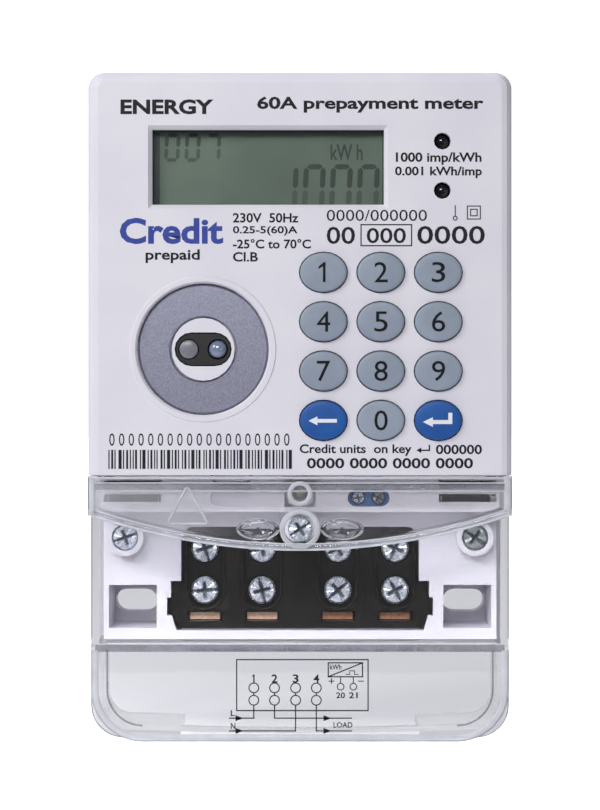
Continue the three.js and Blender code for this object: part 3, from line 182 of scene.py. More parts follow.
def see_through(name, shade, rough, ior, ripple, depth):
    """Clear plastic that lets lamp light through, with the faint ripple of a moulding."""
    look, shader = new_look(name, Base_Color=shade, Transmission_Weight=1.0, IOR=ior)
    feed(look, shader.inputs["Roughness"], between(look, noise(look, 6.0), *rough))
    bump(look, shader, noise(look, ripple, 1.0), depth)
    path = add(look, "LightPath")
    clear = add(look, "BsdfTransparent", Color=shade)
    mix = add(look, "MixShader", Fac=path.outputs["Is Shadow Ray"])
    feed(look, mix.inputs[1], shader.outputs[0])
    feed(look, mix.inputs[2], clear.outputs[0])
    output = look.node_tree.nodes["Material Output"]
    feed(look, output.inputs["Surface"], mix.outputs[0])
    return look


# Painted glare: where the pale sheet over the clear cover fades from left to right.
GLARE_FROM, GLARE_TO = -0.05, -0.015  # across the cover, in metres
GLARE_MOST, GLARE_LEAST = 0.26, 0.03


def painted_glare_look():
    """Painted glare on the clear cover: a pale sheet, thicker towards its left end."""
    look, shader = new_look("painted_glare")
    place = add(look, "SeparateXYZ", Vector=add(look, "TexCoord").outputs["Object"])
    glare_alpha = add(look, "MapRange", Value=place.outputs["X"], From_Min=GLARE_FROM,
               From_Max=GLARE_TO, To_Min=GLARE_MOST, To_Max=GLARE_LEAST)
    feed(look, shader.inputs["Alpha"], glare_alpha.outputs[0])
    shades = [(0.3, colour(216, 218, 226)), (0.7, colour(238, 240, 246))]
    feed(look, shader.inputs["Base Color"], ramp(look, noise(look, 30.0), shades))
    feed(look, shader.inputs["Roughness"], between(look, noise(look, 9.0), 0.15, 0.3))
    bump(look, shader, noise(look, 0.5, 2.0), 0.005)
    return look


def board_look():
    """Green solder mask over a faint weave of copper tracks."""
    look, shader = new_look("board", Coat_Weight=0.6, Coat_Roughness=0.15)
    place = add(look, "TexCoord").outputs["Object"]
    tracks = add(look, "TexBrick", Vector=place, Scale=220.0).outputs["Fac"]
    shades = [(0.0, colour(22, 84, 48)), (1.0, colour(52, 122, 70))]
    feed(look, shader.inputs["Base Color"], ramp(look, tracks, shades))
    feed(look, shader.inputs["Roughness"], between(look, noise(look, 3.0), 0.4, 0.6))
    bump(look, shader, tracks, 0.03)
    return look


def display_look():
    """The liquid crystal's green-grey reflector, grained and slightly uneven."""
    look, shader = new_look("display", Coat_Weight=0.4, Coat_Roughness=0.05)
    cloud = ramp(look, noise(look, 24.0), [(0.3, colour(78, 87, 78)), (0.7, colour(96, 105, 94))])
    feed(look, shader.inputs["Base Color"], cloud)
    feed(look, shader.inputs["Roughness"], between(look, noise(look, 0.2), 0.45, 0.6))
    bump(look, shader, noise(look, 0.15, 1.0), 0.01)
    return look


# The grain, the relief and the patches of some plastics, in millimetres.
INK_GRAIN = (0.2, 0.004, 3.0)
KEY_GRAIN = (0.25, 0.012, 6.0)
SEGMENT_GRAIN = (0.2, 0.004, 4.0)
COPPER_GRAIN = (0.4, 0.012, 1.0)

# Each look: its name, two colours, its least and most roughness, and its grain.
LOOKS = {
    "white": moulded("white", colour(228, 226, 234), colour(223, 221, 231), (0.40, 0.5)),
    "grey": moulded("grey", colour(176, 176, 182), colour(166, 166, 173), (0.45, 0.6)),
    # Darker grey: painted shade round the edge of the unused slot in the ledge.
    "recess": moulded("recess", colour(104, 104, 112), colour(122, 122, 130), (0.45, 0.6)),
    "pale": moulded("pale", colour(222, 220, 206), colour(212, 210, 196), (0.4, 0.55)),
    "black": moulded("black", colour(26, 26, 28), colour(32, 32, 34), (0.35, 0.55)),
    "block": moulded("block", colour(17, 14, 12), colour(24, 20, 17), (0.3, 0.42),
                     0.5, 0.02, 9.0, Specular_IOR_Level=0.3),
    "blue": moulded("blue", colour(28, 86, 150), colour(36, 98, 164), (0.35, 0.5)),
    "key": moulded("key", colour(138, 149, 165), colour(147, 158, 174), (0.42, 0.52),
                   *KEY_GRAIN),
    "key_blue": moulded("key_blue", colour(8, 76, 152), colour(14, 86, 164), (0.42, 0.52),
                        *KEY_GRAIN),
    # A darker copy of the screw metal: painted shade deep in the screw recesses.
    "painted_pit_shade": moulded("painted_pit_shade", colour(48, 52, 62), colour(84, 90, 102), (0.4, 0.6), 0.3, 0.01, 2.0),
    "key_ink": moulded("key_ink", colour(14, 14, 18), colour(20, 20, 24), (0.5, 0.7),
                       *INK_GRAIN, Specular_IOR_Level=0.2),
    "ink": moulded("ink", colour(26, 26, 32), colour(33, 33, 39), (0.5, 0.7),
                   *INK_GRAIN, Specular_IOR_Level=0.25),
    "ink_blue": moulded("ink_blue", colour(38, 60, 150), colour(44, 68, 160), (0.5, 0.7),
                        *INK_GRAIN),
    "ink_white": moulded("ink_white", colour(236, 238, 242), colour(228, 231, 238), (0.5, 0.7),
                         *INK_GRAIN),
    "segment": moulded("segment", colour(30, 38, 32), colour(36, 44, 37), (0.4, 0.5),
                       *SEGMENT_GRAIN),
    # A paler copy of the segment colour: painted glare on the lower halves of the digits.
    "painted_pale_segment": moulded("painted_pale_segment", colour(52, 61, 52), colour(58, 67, 58), (0.4, 0.5), *SEGMENT_GRAIN),
    "steel": plated("steel", colour(146, 148, 168), colour(180, 180, 200), (0.28, 0.4),
                    0.4, 0.02, metallic=0.8),
    "zinc": plated("zinc", colour(214, 222, 236), colour(240, 245, 252), (0.2, 0.34),
                   1.2, 0.008, metallic=0.75),
    "dull_zinc": plated("dull_zinc", colour(140, 148, 148), colour(170, 178, 178), (0.3, 0.45),
                        1.2, 0.01, metallic=0.6),
    "copper": moulded("copper", colour(246, 190, 156), colour(255, 226, 202), (0.28, 0.42),
                      *COPPER_GRAIN, Metallic=0.1),
    "copper_dull": moulded("copper_dull", colour(170, 116, 84), colour(206, 150, 114),
                           (0.3, 0.45), *COPPER_GRAIN, Metallic=0.1),
    "core": plated("core", colour(110, 112, 118), colour(128, 130, 136), (0.35, 0.5), 2.0, 0.02),
    "clear": see_through("clear", colour(254, 254, 255), (0.01, 0.04), 1.46, 9.0, 0.02),
    "window": see_through("window", colour(233, 239, 237), (0.01, 0.03), 1.45, 12.0, 0.01),
    "lens": moulded("lens", colour(4, 4, 6), colour(8, 8, 10), (0.06, 0.12),
                    0.6, 0.004, 3.0, Coat_Weight=0.3),
    "diode_grey": moulded("diode_grey", colour(120, 122, 130), colour(132, 134, 142),
                          (0.25, 0.35), 0.4, 0.004, 2.0),
    "diode_clear": moulded("diode_clear", colour(110, 122, 150), colour(128, 140, 166),
                           (0.06, 0.14), 0.5, 0.003, 2.0, Coat_Weight=1.0),
    # Pale grey, half-clear: painted light and shade where the curved wall of the cover is seen end
    # on.
    "edge": moulded("edge", colour(186, 189, 199), colour(206, 208, 217), (0.12, 0.25),
                    0.5, 0.01, 6.0, Alpha=0.5),
    # Pale, half-clear: painted glints along the thick clear edges, ears, boss, post and triangle of
    # the cover.
    "painted_glint": moulded("painted_glint", colour(214, 216, 223), colour(228, 230, 236), (0.1, 0.25),
                     0.5, 0.01, 4.0, Alpha=0.62),
    # Grey, half-clear: painted shade where walls of the clear cover are seen end on or through it.
    "shade": moulded("shade", colour(120, 123, 134), colour(150, 153, 163), (0.2, 0.35),
                     0.5, 0.01, 9.0, Alpha=0.55),
    # painted glare, laid as a pale sheet over the clear cover
    "painted_glare": painted_glare_look(),
    "board": board_look(),
    "display": display_look(),
}

# The look of each CAD material, and of the nodes that differ from their material.
SLOT_LOOKS = {
    "white_abs": "white",
    "grey_plastic": "grey",
    "clear_polycarbonate": "clear",
    "display_window": "window",
    "display_glass": "display",
    "pale_plastic": "pale",
    "black_plastic": "black",
    "key_rubber": "key",
    "key_rubber_blue": "key_blue",
    "lamp_lens": "lens",
    "port_steel": "steel",
    "zinc_screw": "zinc",
    "block_plastic": "block",
    "copper": "copper",
    "blue_plastic": "blue",
    "circuit_board": "board",
    "core_steel": "core",
}
OTHER_LOOKS = {
    "tamper_switch": "white",
    "terminal_clamp_3": "copper_dull",
    "terminal_clamp_4": "copper_dull",
}

for name, node in NODES.items():
    slot = node.data.materials[0].name
    node.data.materials[0] = LOOKS[OTHER_LOOKS.get(name, SLOT_LOOKS[slot])]

# ---------------------------------------------------------------- shapes

FACE = front("front_cover")
GLASS = front("lcd_panel")
PANEL = FACE - 10  # the lower panel of the terminal cover


def slab(shape, outline, near, far):
    """Adds a flat plate: an outline of (x, z) points between two depths."""
    back = [shape.verts.new(spot(x, z, near)) for x, z in outline]
    top = [shape.verts.new(spot(x, z, far)) for x, z in outline]
    shape.faces.new(top)
    shape.faces.new(back[::-1])
    for i in range(len(outline)):
        shape.faces.new((top[i - 1], back[i - 1], back[i], top[i]))


def block(shape, x0, x1, z0, z1, near, far):
    """Adds a box with flat sides."""
    slab(shape, [(x0, z0), (x1, z0), (x1, z1), (x0, z1)], near, far)


def stroke(shape, points, width, near, far):
    """Adds a line of one width through points, a plate for each stretch."""
    for (x0, z0), (x1, z1) in zip(points, points[1:]):
        length = math.hypot(x1 - x0, z1 - z0)
        along = ((x1 - x0) / length * width / 2, (z1 - z0) / length * width / 2)
        across = (-along[1], along[0])
        slab(shape, [
            (x0 - along[0] - across[0], z0 - along[1] - across[1]),
            (x1 + along[0] - across[0], z1 + along[1] - across[1]),
            (x1 + along[0] + across[0], z1 + along[1] + across[1]),
            (x0 - along[0] + across[0], z0 - along[1] + across[1]),
        ], near, far)


def arc(x, z, radius, start, end, steps):
    """Points along an arc, its angles in degrees."""
    turns = [math.radians(start + (end - start) * i / steps) for i in range(steps + 1)]
    return [(x + radius * math.cos(turn), z + radius * math.sin(turn)) for turn in turns]


def band(shape, inner, outer, near, far):
    """Adds a strip between two lines with as many points each."""
    for i in range(len(inner) - 1):
        slab(shape, [inner[i], outer[i], outer[i + 1], inner[i + 1]], near, far)


def hoop(shape, x, z, profile, steps=96):
    """Adds a turned ring; the profile is a loop of (radius, depth)."""
    rows = []
    for radius, depth in profile:
        points = arc(x, z, radius, 0, 360, steps)[:-1]
        rows.append([shape.verts.new(spot(px, pz, depth)) for px, pz in points])
    for low, high in zip(rows, rows[1:] + rows[:1]):
        for i in range(steps):
            shape.faces.new((low[i - 1], low[i], high[i], high[i - 1]))


def ring(shape, x, z, inner, outer, near, far, steps=40):
    """Adds a flat ring."""
    hoop(shape, x, z, [(inner, near), (outer, near), (outer, far), (inner, far)], steps)


def turned(shape, x, z, profile, squeeze=1.0, steps=48):
    """Adds a body of revolution; the profile is (radius, depth) from back to front."""
    rows = []
    for radius, depth in profile:
        points = arc(0, 0, radius, 0, 360, steps)[:-1]
        rows.append([shape.verts.new(spot(x + px, z + pz * squeeze, depth)) for px, pz in points])
    for low, high in zip(rows, rows[1:]):
        for i in range(steps):
            shape.faces.new((low[i - 1], low[i], high[i], high[i - 1]))
    shape.faces.new(rows[0][::-1])
    shape.faces.new(rows[-1])


def bead(shape, line, radius, depth, rise=None, closed=False):
    """Adds a half-round bar along points, standing on the plane of a depth."""
    rows = []
    rise = rise or radius
    for i, (x, z) in enumerate(line):
        before = line[i - 1] if closed or i else line[0]
        after = line[(i + 1) % len(line)] if closed or i < len(line) - 1 else line[-1]
        run = math.hypot(after[0] - before[0], after[1] - before[1])
        side = ((before[1] - after[1]) / run, (after[0] - before[0]) / run)
        row = []
        for turn in [math.pi * k / 8 for k in range(9)]:
            reach = radius * math.cos(turn)
            height = depth + rise * math.sin(turn)
            row.append(shape.verts.new(spot(x + side[0] * reach, z + side[1] * reach, height)))
        rows.append(row)
    pairs = list(zip(rows, rows[1:] + rows[:1])) if closed else list(zip(rows, rows[1:]))
    for low, high in pairs:
        for k in range(len(low)):
            shape.faces.new((low[k - 1], low[k], high[k], high[k - 1]))
    if not closed:
        shape.faces.new(rows[0])
        shape.faces.new(rows[-1][::-1])


def letters(shape, text, left, right, low, high, near, far, weight=0.0):
    """Adds raised lettering that fills a box."""
    half = 0.5  # half of the letters' thickness before they are fitted
    curve = bpy.data.curves.new("letters", "FONT")
    curve.body = text
    curve.extrude = half
    curve.offset = weight
    curve.resolution_u = 3
    holder = bpy.data.objects.new("letters", curve)
    bpy.context.scene.collection.objects.link(holder)
    ready = holder.evaluated_get(bpy.context.evaluated_depsgraph_get())
    mesh = bpy.data.meshes.new_from_object(ready)
    bpy.data.objects.remove(holder)
    xs = [vert.co.x for vert in mesh.vertices]
    ys = [vert.co.y for vert in mesh.vertices]
    first_x, first_y = min(xs), min(ys)
    wide = (right - left) / (max(xs) - first_x)
    tall = (high - low) / (max(ys) - first_y)
    for vert in mesh.vertices:
        x = left + (vert.co.x - first_x) * wide
        z = low + (vert.co.y - first_y) * tall
        depth = near + (vert.co.z + half) * (far - near)
        vert.co = spot(x, z, depth)
    shape.from_mesh(mesh)
    bpy.data.meshes.remove(mesh)


def piece(name, shape, look, body, smooth=None):
    """Turns a shape into a named piece that rides on a body."""
    bmesh.ops.recalc_face_normals(shape, faces=shape.faces)
    mesh = bpy.data.meshes.new(name)
    shape.to_mesh(mesh)
    shape.free()
    if smooth:
        mesh.shade_smooth()
        mesh.set_sharp_from_angle(angle=math.radians(smooth))
    mesh.materials.append(LOOKS[look])
    obj = bpy.data.objects.new(name, mesh)
    bpy.context.scene.collection.objects.link(obj)
    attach(obj, body)
    return obj


# ---------------------------------------------------------------- print on the face

INK = (FACE - 0.01, FACE + 0.03)  # every mark on the face lies between these depths

# Words and numbers: the text, its left, right, low and high, and its weight.
FACE_WORDS = (
    ("ENERGY", -44.4, -21.4, 73.0, 76.7, 0.035),
    ("60A prepayment meter", -10.6, 45.4, 73.4, 77.4, 0.028),
    ("1000 imp/kWh", 23.7, 44.9, 60.5, 63.6, 0.025),
    ("0.001 kWh/imp", 23.5, 45.0, 57.2, 60.1, 0.025),
    ("0000/000000", 6.6, 31.4, 46.6, 49.4, 0.0),
    ("00", 6.6, 13.6, 40.9, 45.2, 0.01),
    ("000", 16.5, 26.2, 41.1, 44.9, 0.01),
    ("0000", 29.0, 45.7, 40.9, 45.4, 0.01),
    (" ".join("0" * 19), -47.2, -2.6, -9.0, -5.9, 0.0),
    ("Credit units  on key", -0.1, 27.6, -11.5, -8.6, 0.022),
    ("000000", 33.6, 45.0, -11.1, -8.7, 0.022),
    ("0000 0000 0000 0000", 1.7, 42.8, -14.6, -12.0, 0.022),
)
# The column of ratings: each text and its right end, then what the lines share.
RATINGS = (("230V  50Hz", -0.4), ("0.25-5(60)A", -0.6), ("-25°C to 70°C", 2.7), ("Cl.B", -10.4))
RATING_LEFT, RATING_TOP, RATING_TALL, RATING_PITCH = -16.6, 48.6, 2.4, 3.22

NUMBER_FRAME = [(15.1, 40.5), (27.6, 40.5), (27.6, 45.7), (15.1, 45.7), (15.1, 40.5)]
CORNERS = ((-1, -1), (1, -1), (1, 1), (-1, 1), (-1, -1))
SQUARES_X, SQUARES_Z = 43.0, 48.7  # the double square's middle
PIN_X, PIN_TOP, PIN_FOOT, PIN_EYE = 38.4, 50.4, 47.9, 47.3
RETURN_LINE = [(32.0, -8.9), (32.0, -10.1), (29.4, -10.1)]
RETURN_HEAD = [(28.8, -10.1), (30.0, -10.8), (30.0, -9.4)]

BAR_WIDTHS = (0.3, 0.5, 0.3, 0.8, 0.3, 0.5, 0.3)
BAR_GAPS = (0.4, 0.3, 0.7, 0.3, 0.5, 0.4)
BARS_LEFT, BARS_RIGHT, BARS_LOW, BARS_HIGH = -47.4, -2.0, -14.7, -10.0


def face_print():
    """Ratings, placeholder numbers and symbols in dark ink."""
    shape = bmesh.new()
    for text, left, right, low, high, weight in FACE_WORDS:
        letters(shape, text, left, right, low, high, *INK, weight)
    for i, (text, right) in enumerate(RATINGS):
        high = RATING_TOP - RATING_PITCH * i
        letters(shape, text, RATING_LEFT, right, high - RATING_TALL, high, *INK, 0.022)
    stroke(shape, NUMBER_FRAME, 0.3, *INK)
    for half in (1.6, 0.8):
        square = [(SQUARES_X + x * half, SQUARES_Z + z * half) for x, z in CORNERS]
        stroke(shape, square, 0.25, *INK)
    stroke(shape, [(PIN_X, PIN_TOP), (PIN_X, PIN_FOOT)], 0.25, *INK)
    ring(shape, PIN_X, PIN_EYE, 0.35, 0.62, *INK, 16)
    stroke(shape, RETURN_LINE, 0.35, *INK)
    slab(shape, RETURN_HEAD, *INK)
    piece("face_print", shape, "ink", "root")


def bar_marks():
    """A plain pattern of bars in place of a bar code; it says nothing."""
    shape = bmesh.new()
    x = BARS_LEFT
    step = 0
    while x < BARS_RIGHT:
        width = BAR_WIDTHS[step % len(BAR_WIDTHS)]
        block(shape, x, x + width, BARS_LOW, BARS_HIGH, *INK)
        x += width + BAR_GAPS[step % len(BAR_GAPS)]
        step += 1
    piece("face_bars", shape, "ink", "root")


def blue_mark():
    """A plain word in blue over a plain word in dark ink."""
    shape = bmesh.new()
    letters(shape, "Credit", -44.6, -19.0, 40.9, 47.4, *INK, 0.03)
    piece("face_word", shape, "ink_blue", "root")
    shape = bmesh.new()
    letters(shape, "prepaid", -38.2, -24.8, 36.2, 39.6, *INK, 0.022)
    piece("face_kind", shape, "ink", "root")


# ---------------------------------------------------------------- display

LEAN = 0.05  # how far a digit leans to the right for each millimetre of its height
SEGMENT = (GLASS + 0.02, GLASS + 0.08)  # the depths of the digits
BORDER_DEPTHS = (GLASS + 0.1, GLASS + 0.22)  # the depths of the dark border
# Rows of digits: the left end, the pitch, the foot, then each digit's width,
# height and thickness.
SMALL_ROW = (-33.4, 5.08, 62.1, 2.9, 6.1, 0.95)
LARGE_ROW = (-5.7, 6.75, 49.2, 4.2, 11.2, 1.3)
# The dark border, widest at the left: its inset from the window's edges, and its widths.
BORDER_INSET, BORDER_LEFT, BORDER_RIGHT, BORDER_TOP, BORDER_LOW = 1.0, 2.9, 1.5, 1.5, 1.4


def digit(shape, names, left, low, width, height, thick):
    """Adds segments of a seven-segment digit; each is a pointed bar."""
    right, high, waist = left + width, low + height, low + height / 2
    half = thick / 2
    gap = thick * 0.12
    ends = {
        "a": ((left, high), (right, high)),
        "b": ((right, waist), (right, high)),
        "c": ((right, low), (right, waist)),
        "d": ((left, low), (right, low)),
        "e": ((left, low), (left, waist)),
        "f": ((left, waist), (left, high)),
    }
    for name in names:
        (x0, z0), (x1, z1) = ends[name]
        if x0 == x1:
            z0, z1 = z0 + gap, z1 - gap
            points = [(x0, z0), (x0 + half, z0 + half), (x0 + half, z1 - half),
                      (x0, z1), (x0 - half, z1 - half), (x0 - half, z0 + half)]
        else:
            x0, x1 = x0 + gap, x1 - gap
            points = [(x0, z0), (x0 + half, z0 - half), (x1 - half, z0 - half),
                      (x1, z0), (x1 - half, z0 + half), (x0 + half, z0 + half)]
        slab(shape, [(x + (z - low) * LEAN, z) for x, z in points], *SEGMENT)


def digit_row(shape, digits, row):
    """Adds a row of digits, each given by the names of its segments."""
    left, pitch, low, *sizes = row
    for i, names in enumerate(digits):
        digit(shape, names, left + pitch * i, low, *sizes)


def display():
    """The reading, its lower half paler with painted glare, and the dark border of the display,
    widest at the left.
    """
    shape = bmesh.new()
    digit_row(shape, ("abf", "abf", "ab"), SMALL_ROW)
    digit_row(shape, ("b", "abf", "abf", "abf"), LARGE_ROW)
    letters(shape, "kW h", 7.6, 15.6, 62.0, 66.0, *SEGMENT, 0.02)
    piece("display_digits", shape, "segment", "root")
    # The lower segments, paler: painted glare on the lower half of the reading.
    shape = bmesh.new()
    digit_row(shape, ("cde", "cde", "c"), SMALL_ROW)
    digit_row(shape, ("c", "cde", "cde", "cde"), LARGE_ROW)
    piece("display_lower_digits", shape, "painted_pale_segment", "root")
    low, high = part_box("lcd_window")
    left, right = low.x / MM + BORDER_INSET, high.x / MM - BORDER_INSET
    bottom, top = low.z / MM + BORDER_INSET, high.z / MM - BORDER_INSET
    inner = (left + BORDER_LEFT, right - BORDER_RIGHT)
    shape = bmesh.new()
    block(shape, left, inner[0], bottom, top, *BORDER_DEPTHS)
    block(shape, inner[1], right, bottom, top, *BORDER_DEPTHS)
    block(shape, *inner, top - BORDER_TOP, top, *BORDER_DEPTHS)
    block(shape, *inner, bottom, bottom + BORDER_LOW, *BORDER_DEPTHS)
    piece("display_dark_border", shape, "black", "root")


# ---------------------------------------------------------------- keys

KEYS = ["key_%d" % number for number in range(10)] + ["key_back", "key_enter"]
BLUE_KEYS = ("key_back", "key_enter")
KEY_STEM = 3.0  # the radius of the pill under a key
FLANGE = 0.8  # how far the flange stands out from the key
FLANGE_BACK, FLANGE_FRONT = 2.7, 4.6  # its depths, from the back of the pill
ROLL_IN, ROLL_LOW, ROLL_RISE = 0.55, 0.75, 0.6  # the rolled edge of the crown

# Marks that aren't letters: outlines about the middle of the key.
MARKS = {
    "key_back": [
        [(-3.7, -0.1), (-1.5, -1.2), (-1.5, 1.0)],
        [(-1.55, -0.55), (3.3, -0.55), (3.3, 0.35), (-1.55, 0.35)],
    ],
    "key_enter": [
        [(-3.9, -0.4), (-1.4, -1.6), (-1.4, 0.8)],
        [(-1.45, -0.9), (3.4, -0.9), (3.4, 1.9), (2.4, 1.9), (2.4, 0.1), (-1.45, 0.1)],
    ],
    "key_1": [
        [(-0.15, -2.45), (0.5, -2.45), (0.5, 2.45), (0.05, 2.45),
         (-1.25, 1.35), (-1.25, 0.75), (-0.15, 1.45)],
    ],
}
NUMERAL_HALF_WIDE, NUMERAL_HALF_TALL = 1.65, 2.5


def key_cap(node):
    """A crowned rubber key with a rolled edge, on its flange and pill."""
    low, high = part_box(node)
    x, z = middle(node)
    wide = (high.x - low.x) / 2 / MM
    tall = (high.z - low.z) / 2 / MM
    body = wide - FLANGE
    crown = front(node)
    back = -high.y / MM
    profile = [(KEY_STEM, back), (KEY_STEM, back + FLANGE_BACK), (wide - 0.1, back + FLANGE_BACK),
               (wide - 0.1, back + FLANGE_FRONT), (body, back + FLANGE_FRONT)]
    for angle in (0, 22, 45, 67, 90):
        turn = math.radians(angle)
        profile.append((body - ROLL_IN * (1 - math.cos(turn)),
                        crown - ROLL_LOW + ROLL_RISE * math.sin(turn)))
    profile += [(body * 0.72, crown - 0.09), (body * 0.4, crown - 0.045), (0.05, crown - 0.03)]
    shape = bmesh.new()
    turned(shape, x, z, profile, (tall - FLANGE) / body, 64)
    look, slot = ("key_blue", "key_rubber_blue") if node in BLUE_KEYS else ("key", "key_rubber")
    cap = piece("cap_" + node[4:], shape, look, node, 40)
    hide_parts(node)


def key_mark(node):
    """The numeral or arrow moulded on a key."""
    x, z = middle(node)
    crown = front(node)
    depths = (crown - 0.12, crown - 0.005)
    shape = bmesh.new()
    for outline in MARKS.get(node, ()):
        slab(shape, [(x + across, z + up) for across, up in outline], *depths)
    if node not in MARKS:
        letters(shape, node[-1], x - NUMERAL_HALF_WIDE, x + NUMERAL_HALF_WIDE,
                z - NUMERAL_HALF_TALL, z + NUMERAL_HALF_TALL, *depths)
    look, slot = ("ink_white", "white_abs") if node in BLUE_KEYS else ("key_ink", "black_plastic")
    piece("mark_" + node[4:], shape, look, node)


# ---------------------------------------------------------------- lamps and port

# Lamps: the piece, its CAD node, its look, the rise of its dome and the width of its rim.
LAMPS = (
    ("lens_pulse", "pulse_led", "lens", 1.2, 0.4),
    ("lens_alarm", "alarm_led", "lens", 1.2, 0.4),
    ("lens_emitter", "optical_emitter", "diode_grey", 0.5, 0.0),
    ("lens_receiver", "optical_receiver", "diode_clear", 1.7, 0.0),
)
RING_BORE, RING_CHAMFER = 8.1, 0.35
# The raised rim round the port: (radius, rise over the face).
PORT_RIM = ((16.5, -0.05), (18.2, -0.05), (17.9, 0.3), (16.8, 0.3))


def lens(name, node, look, dome, rim):
    """A round lamp with a smooth dome, on the body's own length."""
    low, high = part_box(node)
    x, z = middle(node)
    radius = (high.x - low.x) / 2 / MM
    tip = front(node)
    back = -high.y / MM
    bore = radius - rim
    profile = [(radius, back), (radius, back + 1), (bore, back + 1), (bore, tip - dome)]
    for angle in (15, 30, 45, 60, 75, 88):
        turn = math.radians(angle)
        profile.append((bore * math.cos(turn), tip - dome + dome * math.sin(turn)))
    shape = bmesh.new()
    turned(shape, x, z, profile)
    obj = piece(name, shape, look, "root", 40)
    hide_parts(node)


def port_ring():
    """The steel ring of the optical port with its chamfers, and the raised rim round it."""
    low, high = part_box("optical_ring")
    x, z = middle("optical_ring")
    outer = (high.x - low.x) / 2 / MM
    top = front("optical_ring")
    back = -high.y / MM
    shape = bmesh.new()
    hoop(shape, x, z, [
        (RING_BORE, back), (outer, back), (outer, top - RING_CHAMFER),
        (outer - RING_CHAMFER, top), (RING_BORE + 0.4, top), (RING_BORE, top - 0.4),
    ])
    obj = piece("port_ring", shape, "steel", "root", 30)
    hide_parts("optical_ring")
    shape = bmesh.new()
    hoop(shape, x, z, [(radius, FACE + rise) for radius, rise in PORT_RIM])
    piece("port_rim", shape, "white", "root", 30)


# ---------------------------------------------------------------- screws

RECESS_SLOPE = 0.12  # the width of the slope at the edge of a recess
HEAD_STEPS, HEAD_RINGS = 96, 28  # points round a head, and rings of them
THREAD_PITCH, THREAD_FLANK, THREAD_CORE = 0.5, 0.22, 0.86

# The height of the head and the radius of the shank, by the first word of the name.
SCREW_SIZES = {
    "terminal": (2.6, 1.95), "case": (1.9, 1.25), "cover": (2.4, 1.65), "aux": (1.2, 0.85),
}

# Each screw's look and the angle at which it stopped, in degrees.
SCREWS = {
    "terminal_screw_1_upper": ("zinc", -72),
    "terminal_screw_2_upper": ("zinc", 15),
    "terminal_screw_3_upper": ("zinc", 28),
    "terminal_screw_4_upper": ("zinc", 66),
    "terminal_screw_1_lower": ("zinc", 4),
    "terminal_screw_2_lower": ("zinc", -76),
    "terminal_screw_3_lower": ("zinc", 40),
    "terminal_screw_4_lower": ("zinc", 118),
    "cover_screw": ("zinc", 33),
    "aux_screw_20": ("zinc", 12),
    "aux_screw_21": ("dull_zinc", -30),
    "case_screw_left": ("zinc", 20),
    "case_screw_right": ("dull_zinc", -35),
}


def inside(distance):
    """1 well inside a shape, 0 outside, with a short slope at its edge."""
    return min(1.0, max(0.0, 0.5 - distance / RECESS_SLOPE))


def head_drop(u, v, radius):
    """How far a point of a screw head lies under the crown, and whether it is in a recess."""
    share = math.hypot(u, v) / radius
    flutes = 0.13 * share * math.cos(8 * math.atan2(v, u))
    fall = 0.10 * share ** 2 + 0.4 * max(0.0, share - 0.86) / 0.14 + flutes
    half = radius * 0.125
    arm = radius * (0.66 - 0.3 * min(abs(u), abs(v)) / radius)
    deep = radius * 0.36 * (1.25 - 0.75 * max(abs(u), abs(v)) / arm)
    cross = max(inside(abs(v) - half) * inside(abs(u) - arm),
                inside(abs(u) - half) * inside(abs(v) - arm))
    groove = inside(abs(v) - half * 0.75) * radius * 0.2
    return fall + max(cross * deep, groove), cross > 0.9 or groove > radius * 0.195


def screw(node, look, turn):
    """A plated screw: domed head with a cross and a slot, and a threaded shank; faces deep in the
    cross and the slot take a darker material, painted shade.
    """
    low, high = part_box(node)
    x, z = middle(node)
    radius = (high.x - low.x) / 2 / MM
    crown = front(node)
    tip = -high.y / MM
    kind = node.split("_")[0]
    head, shank = SCREW_SIZES[kind]
    angle = math.radians(turn)
    shape = bmesh.new()
    shaded_pit_verts = set()
    rows = []
    for i in range(1, HEAD_RINGS + 1):
        row = []
        for px, pz in arc(0, 0, radius * i / HEAD_RINGS, 0, 360, HEAD_STEPS)[:-1]:
            u = px * math.cos(angle) + pz * math.sin(angle)
            v = -px * math.sin(angle) + pz * math.cos(angle)
            drop, deep = head_drop(u, v, radius)
            row.append(shape.verts.new(spot(x + px, z + pz, crown - drop)))
            if deep:
                shaded_pit_verts.add(row[-1])
        rows.append(row)
    centre = shape.verts.new(spot(x, z, crown - radius * 0.45))
    shaded_pit_verts.add(centre)
    for k in range(HEAD_STEPS):
        shape.faces.new((rows[0][k - 1], rows[0][k], centre))
    side = [(radius, crown - head), (shank, crown - head)]
    depth = crown - head - 0.4
    while depth > tip + THREAD_PITCH:
        side += [(shank, depth), (shank * THREAD_CORE, depth - THREAD_FLANK)]
        depth -= THREAD_PITCH
    side.append((shank * 0.7, tip))
    for reach, at in side:
        points = arc(0, 0, reach, 0, 360, HEAD_STEPS)[:-1]
        rows.append([shape.verts.new(spot(x + px, z + pz, at)) for px, pz in points])
    for inner, outer in zip(rows, rows[1:]):
        for k in range(HEAD_STEPS):
            shape.faces.new((outer[k - 1], outer[k], inner[k], inner[k - 1]))
    shape.faces.new(rows[-1])
    # Faces deep in the cross and the slot take the darker material: painted shade.
    for face in shape.faces:
        if all(vert in shaded_pit_verts for vert in face.verts):
            face.material_index = 1
    body = "root" if kind == "case" else node
    obj = piece("plated_" + node, shape, look, body, 35)
    obj.data.materials.append(LOOKS["painted_pit_shade"])
    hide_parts(node)


# ---------------------------------------------------------------- terminal cover

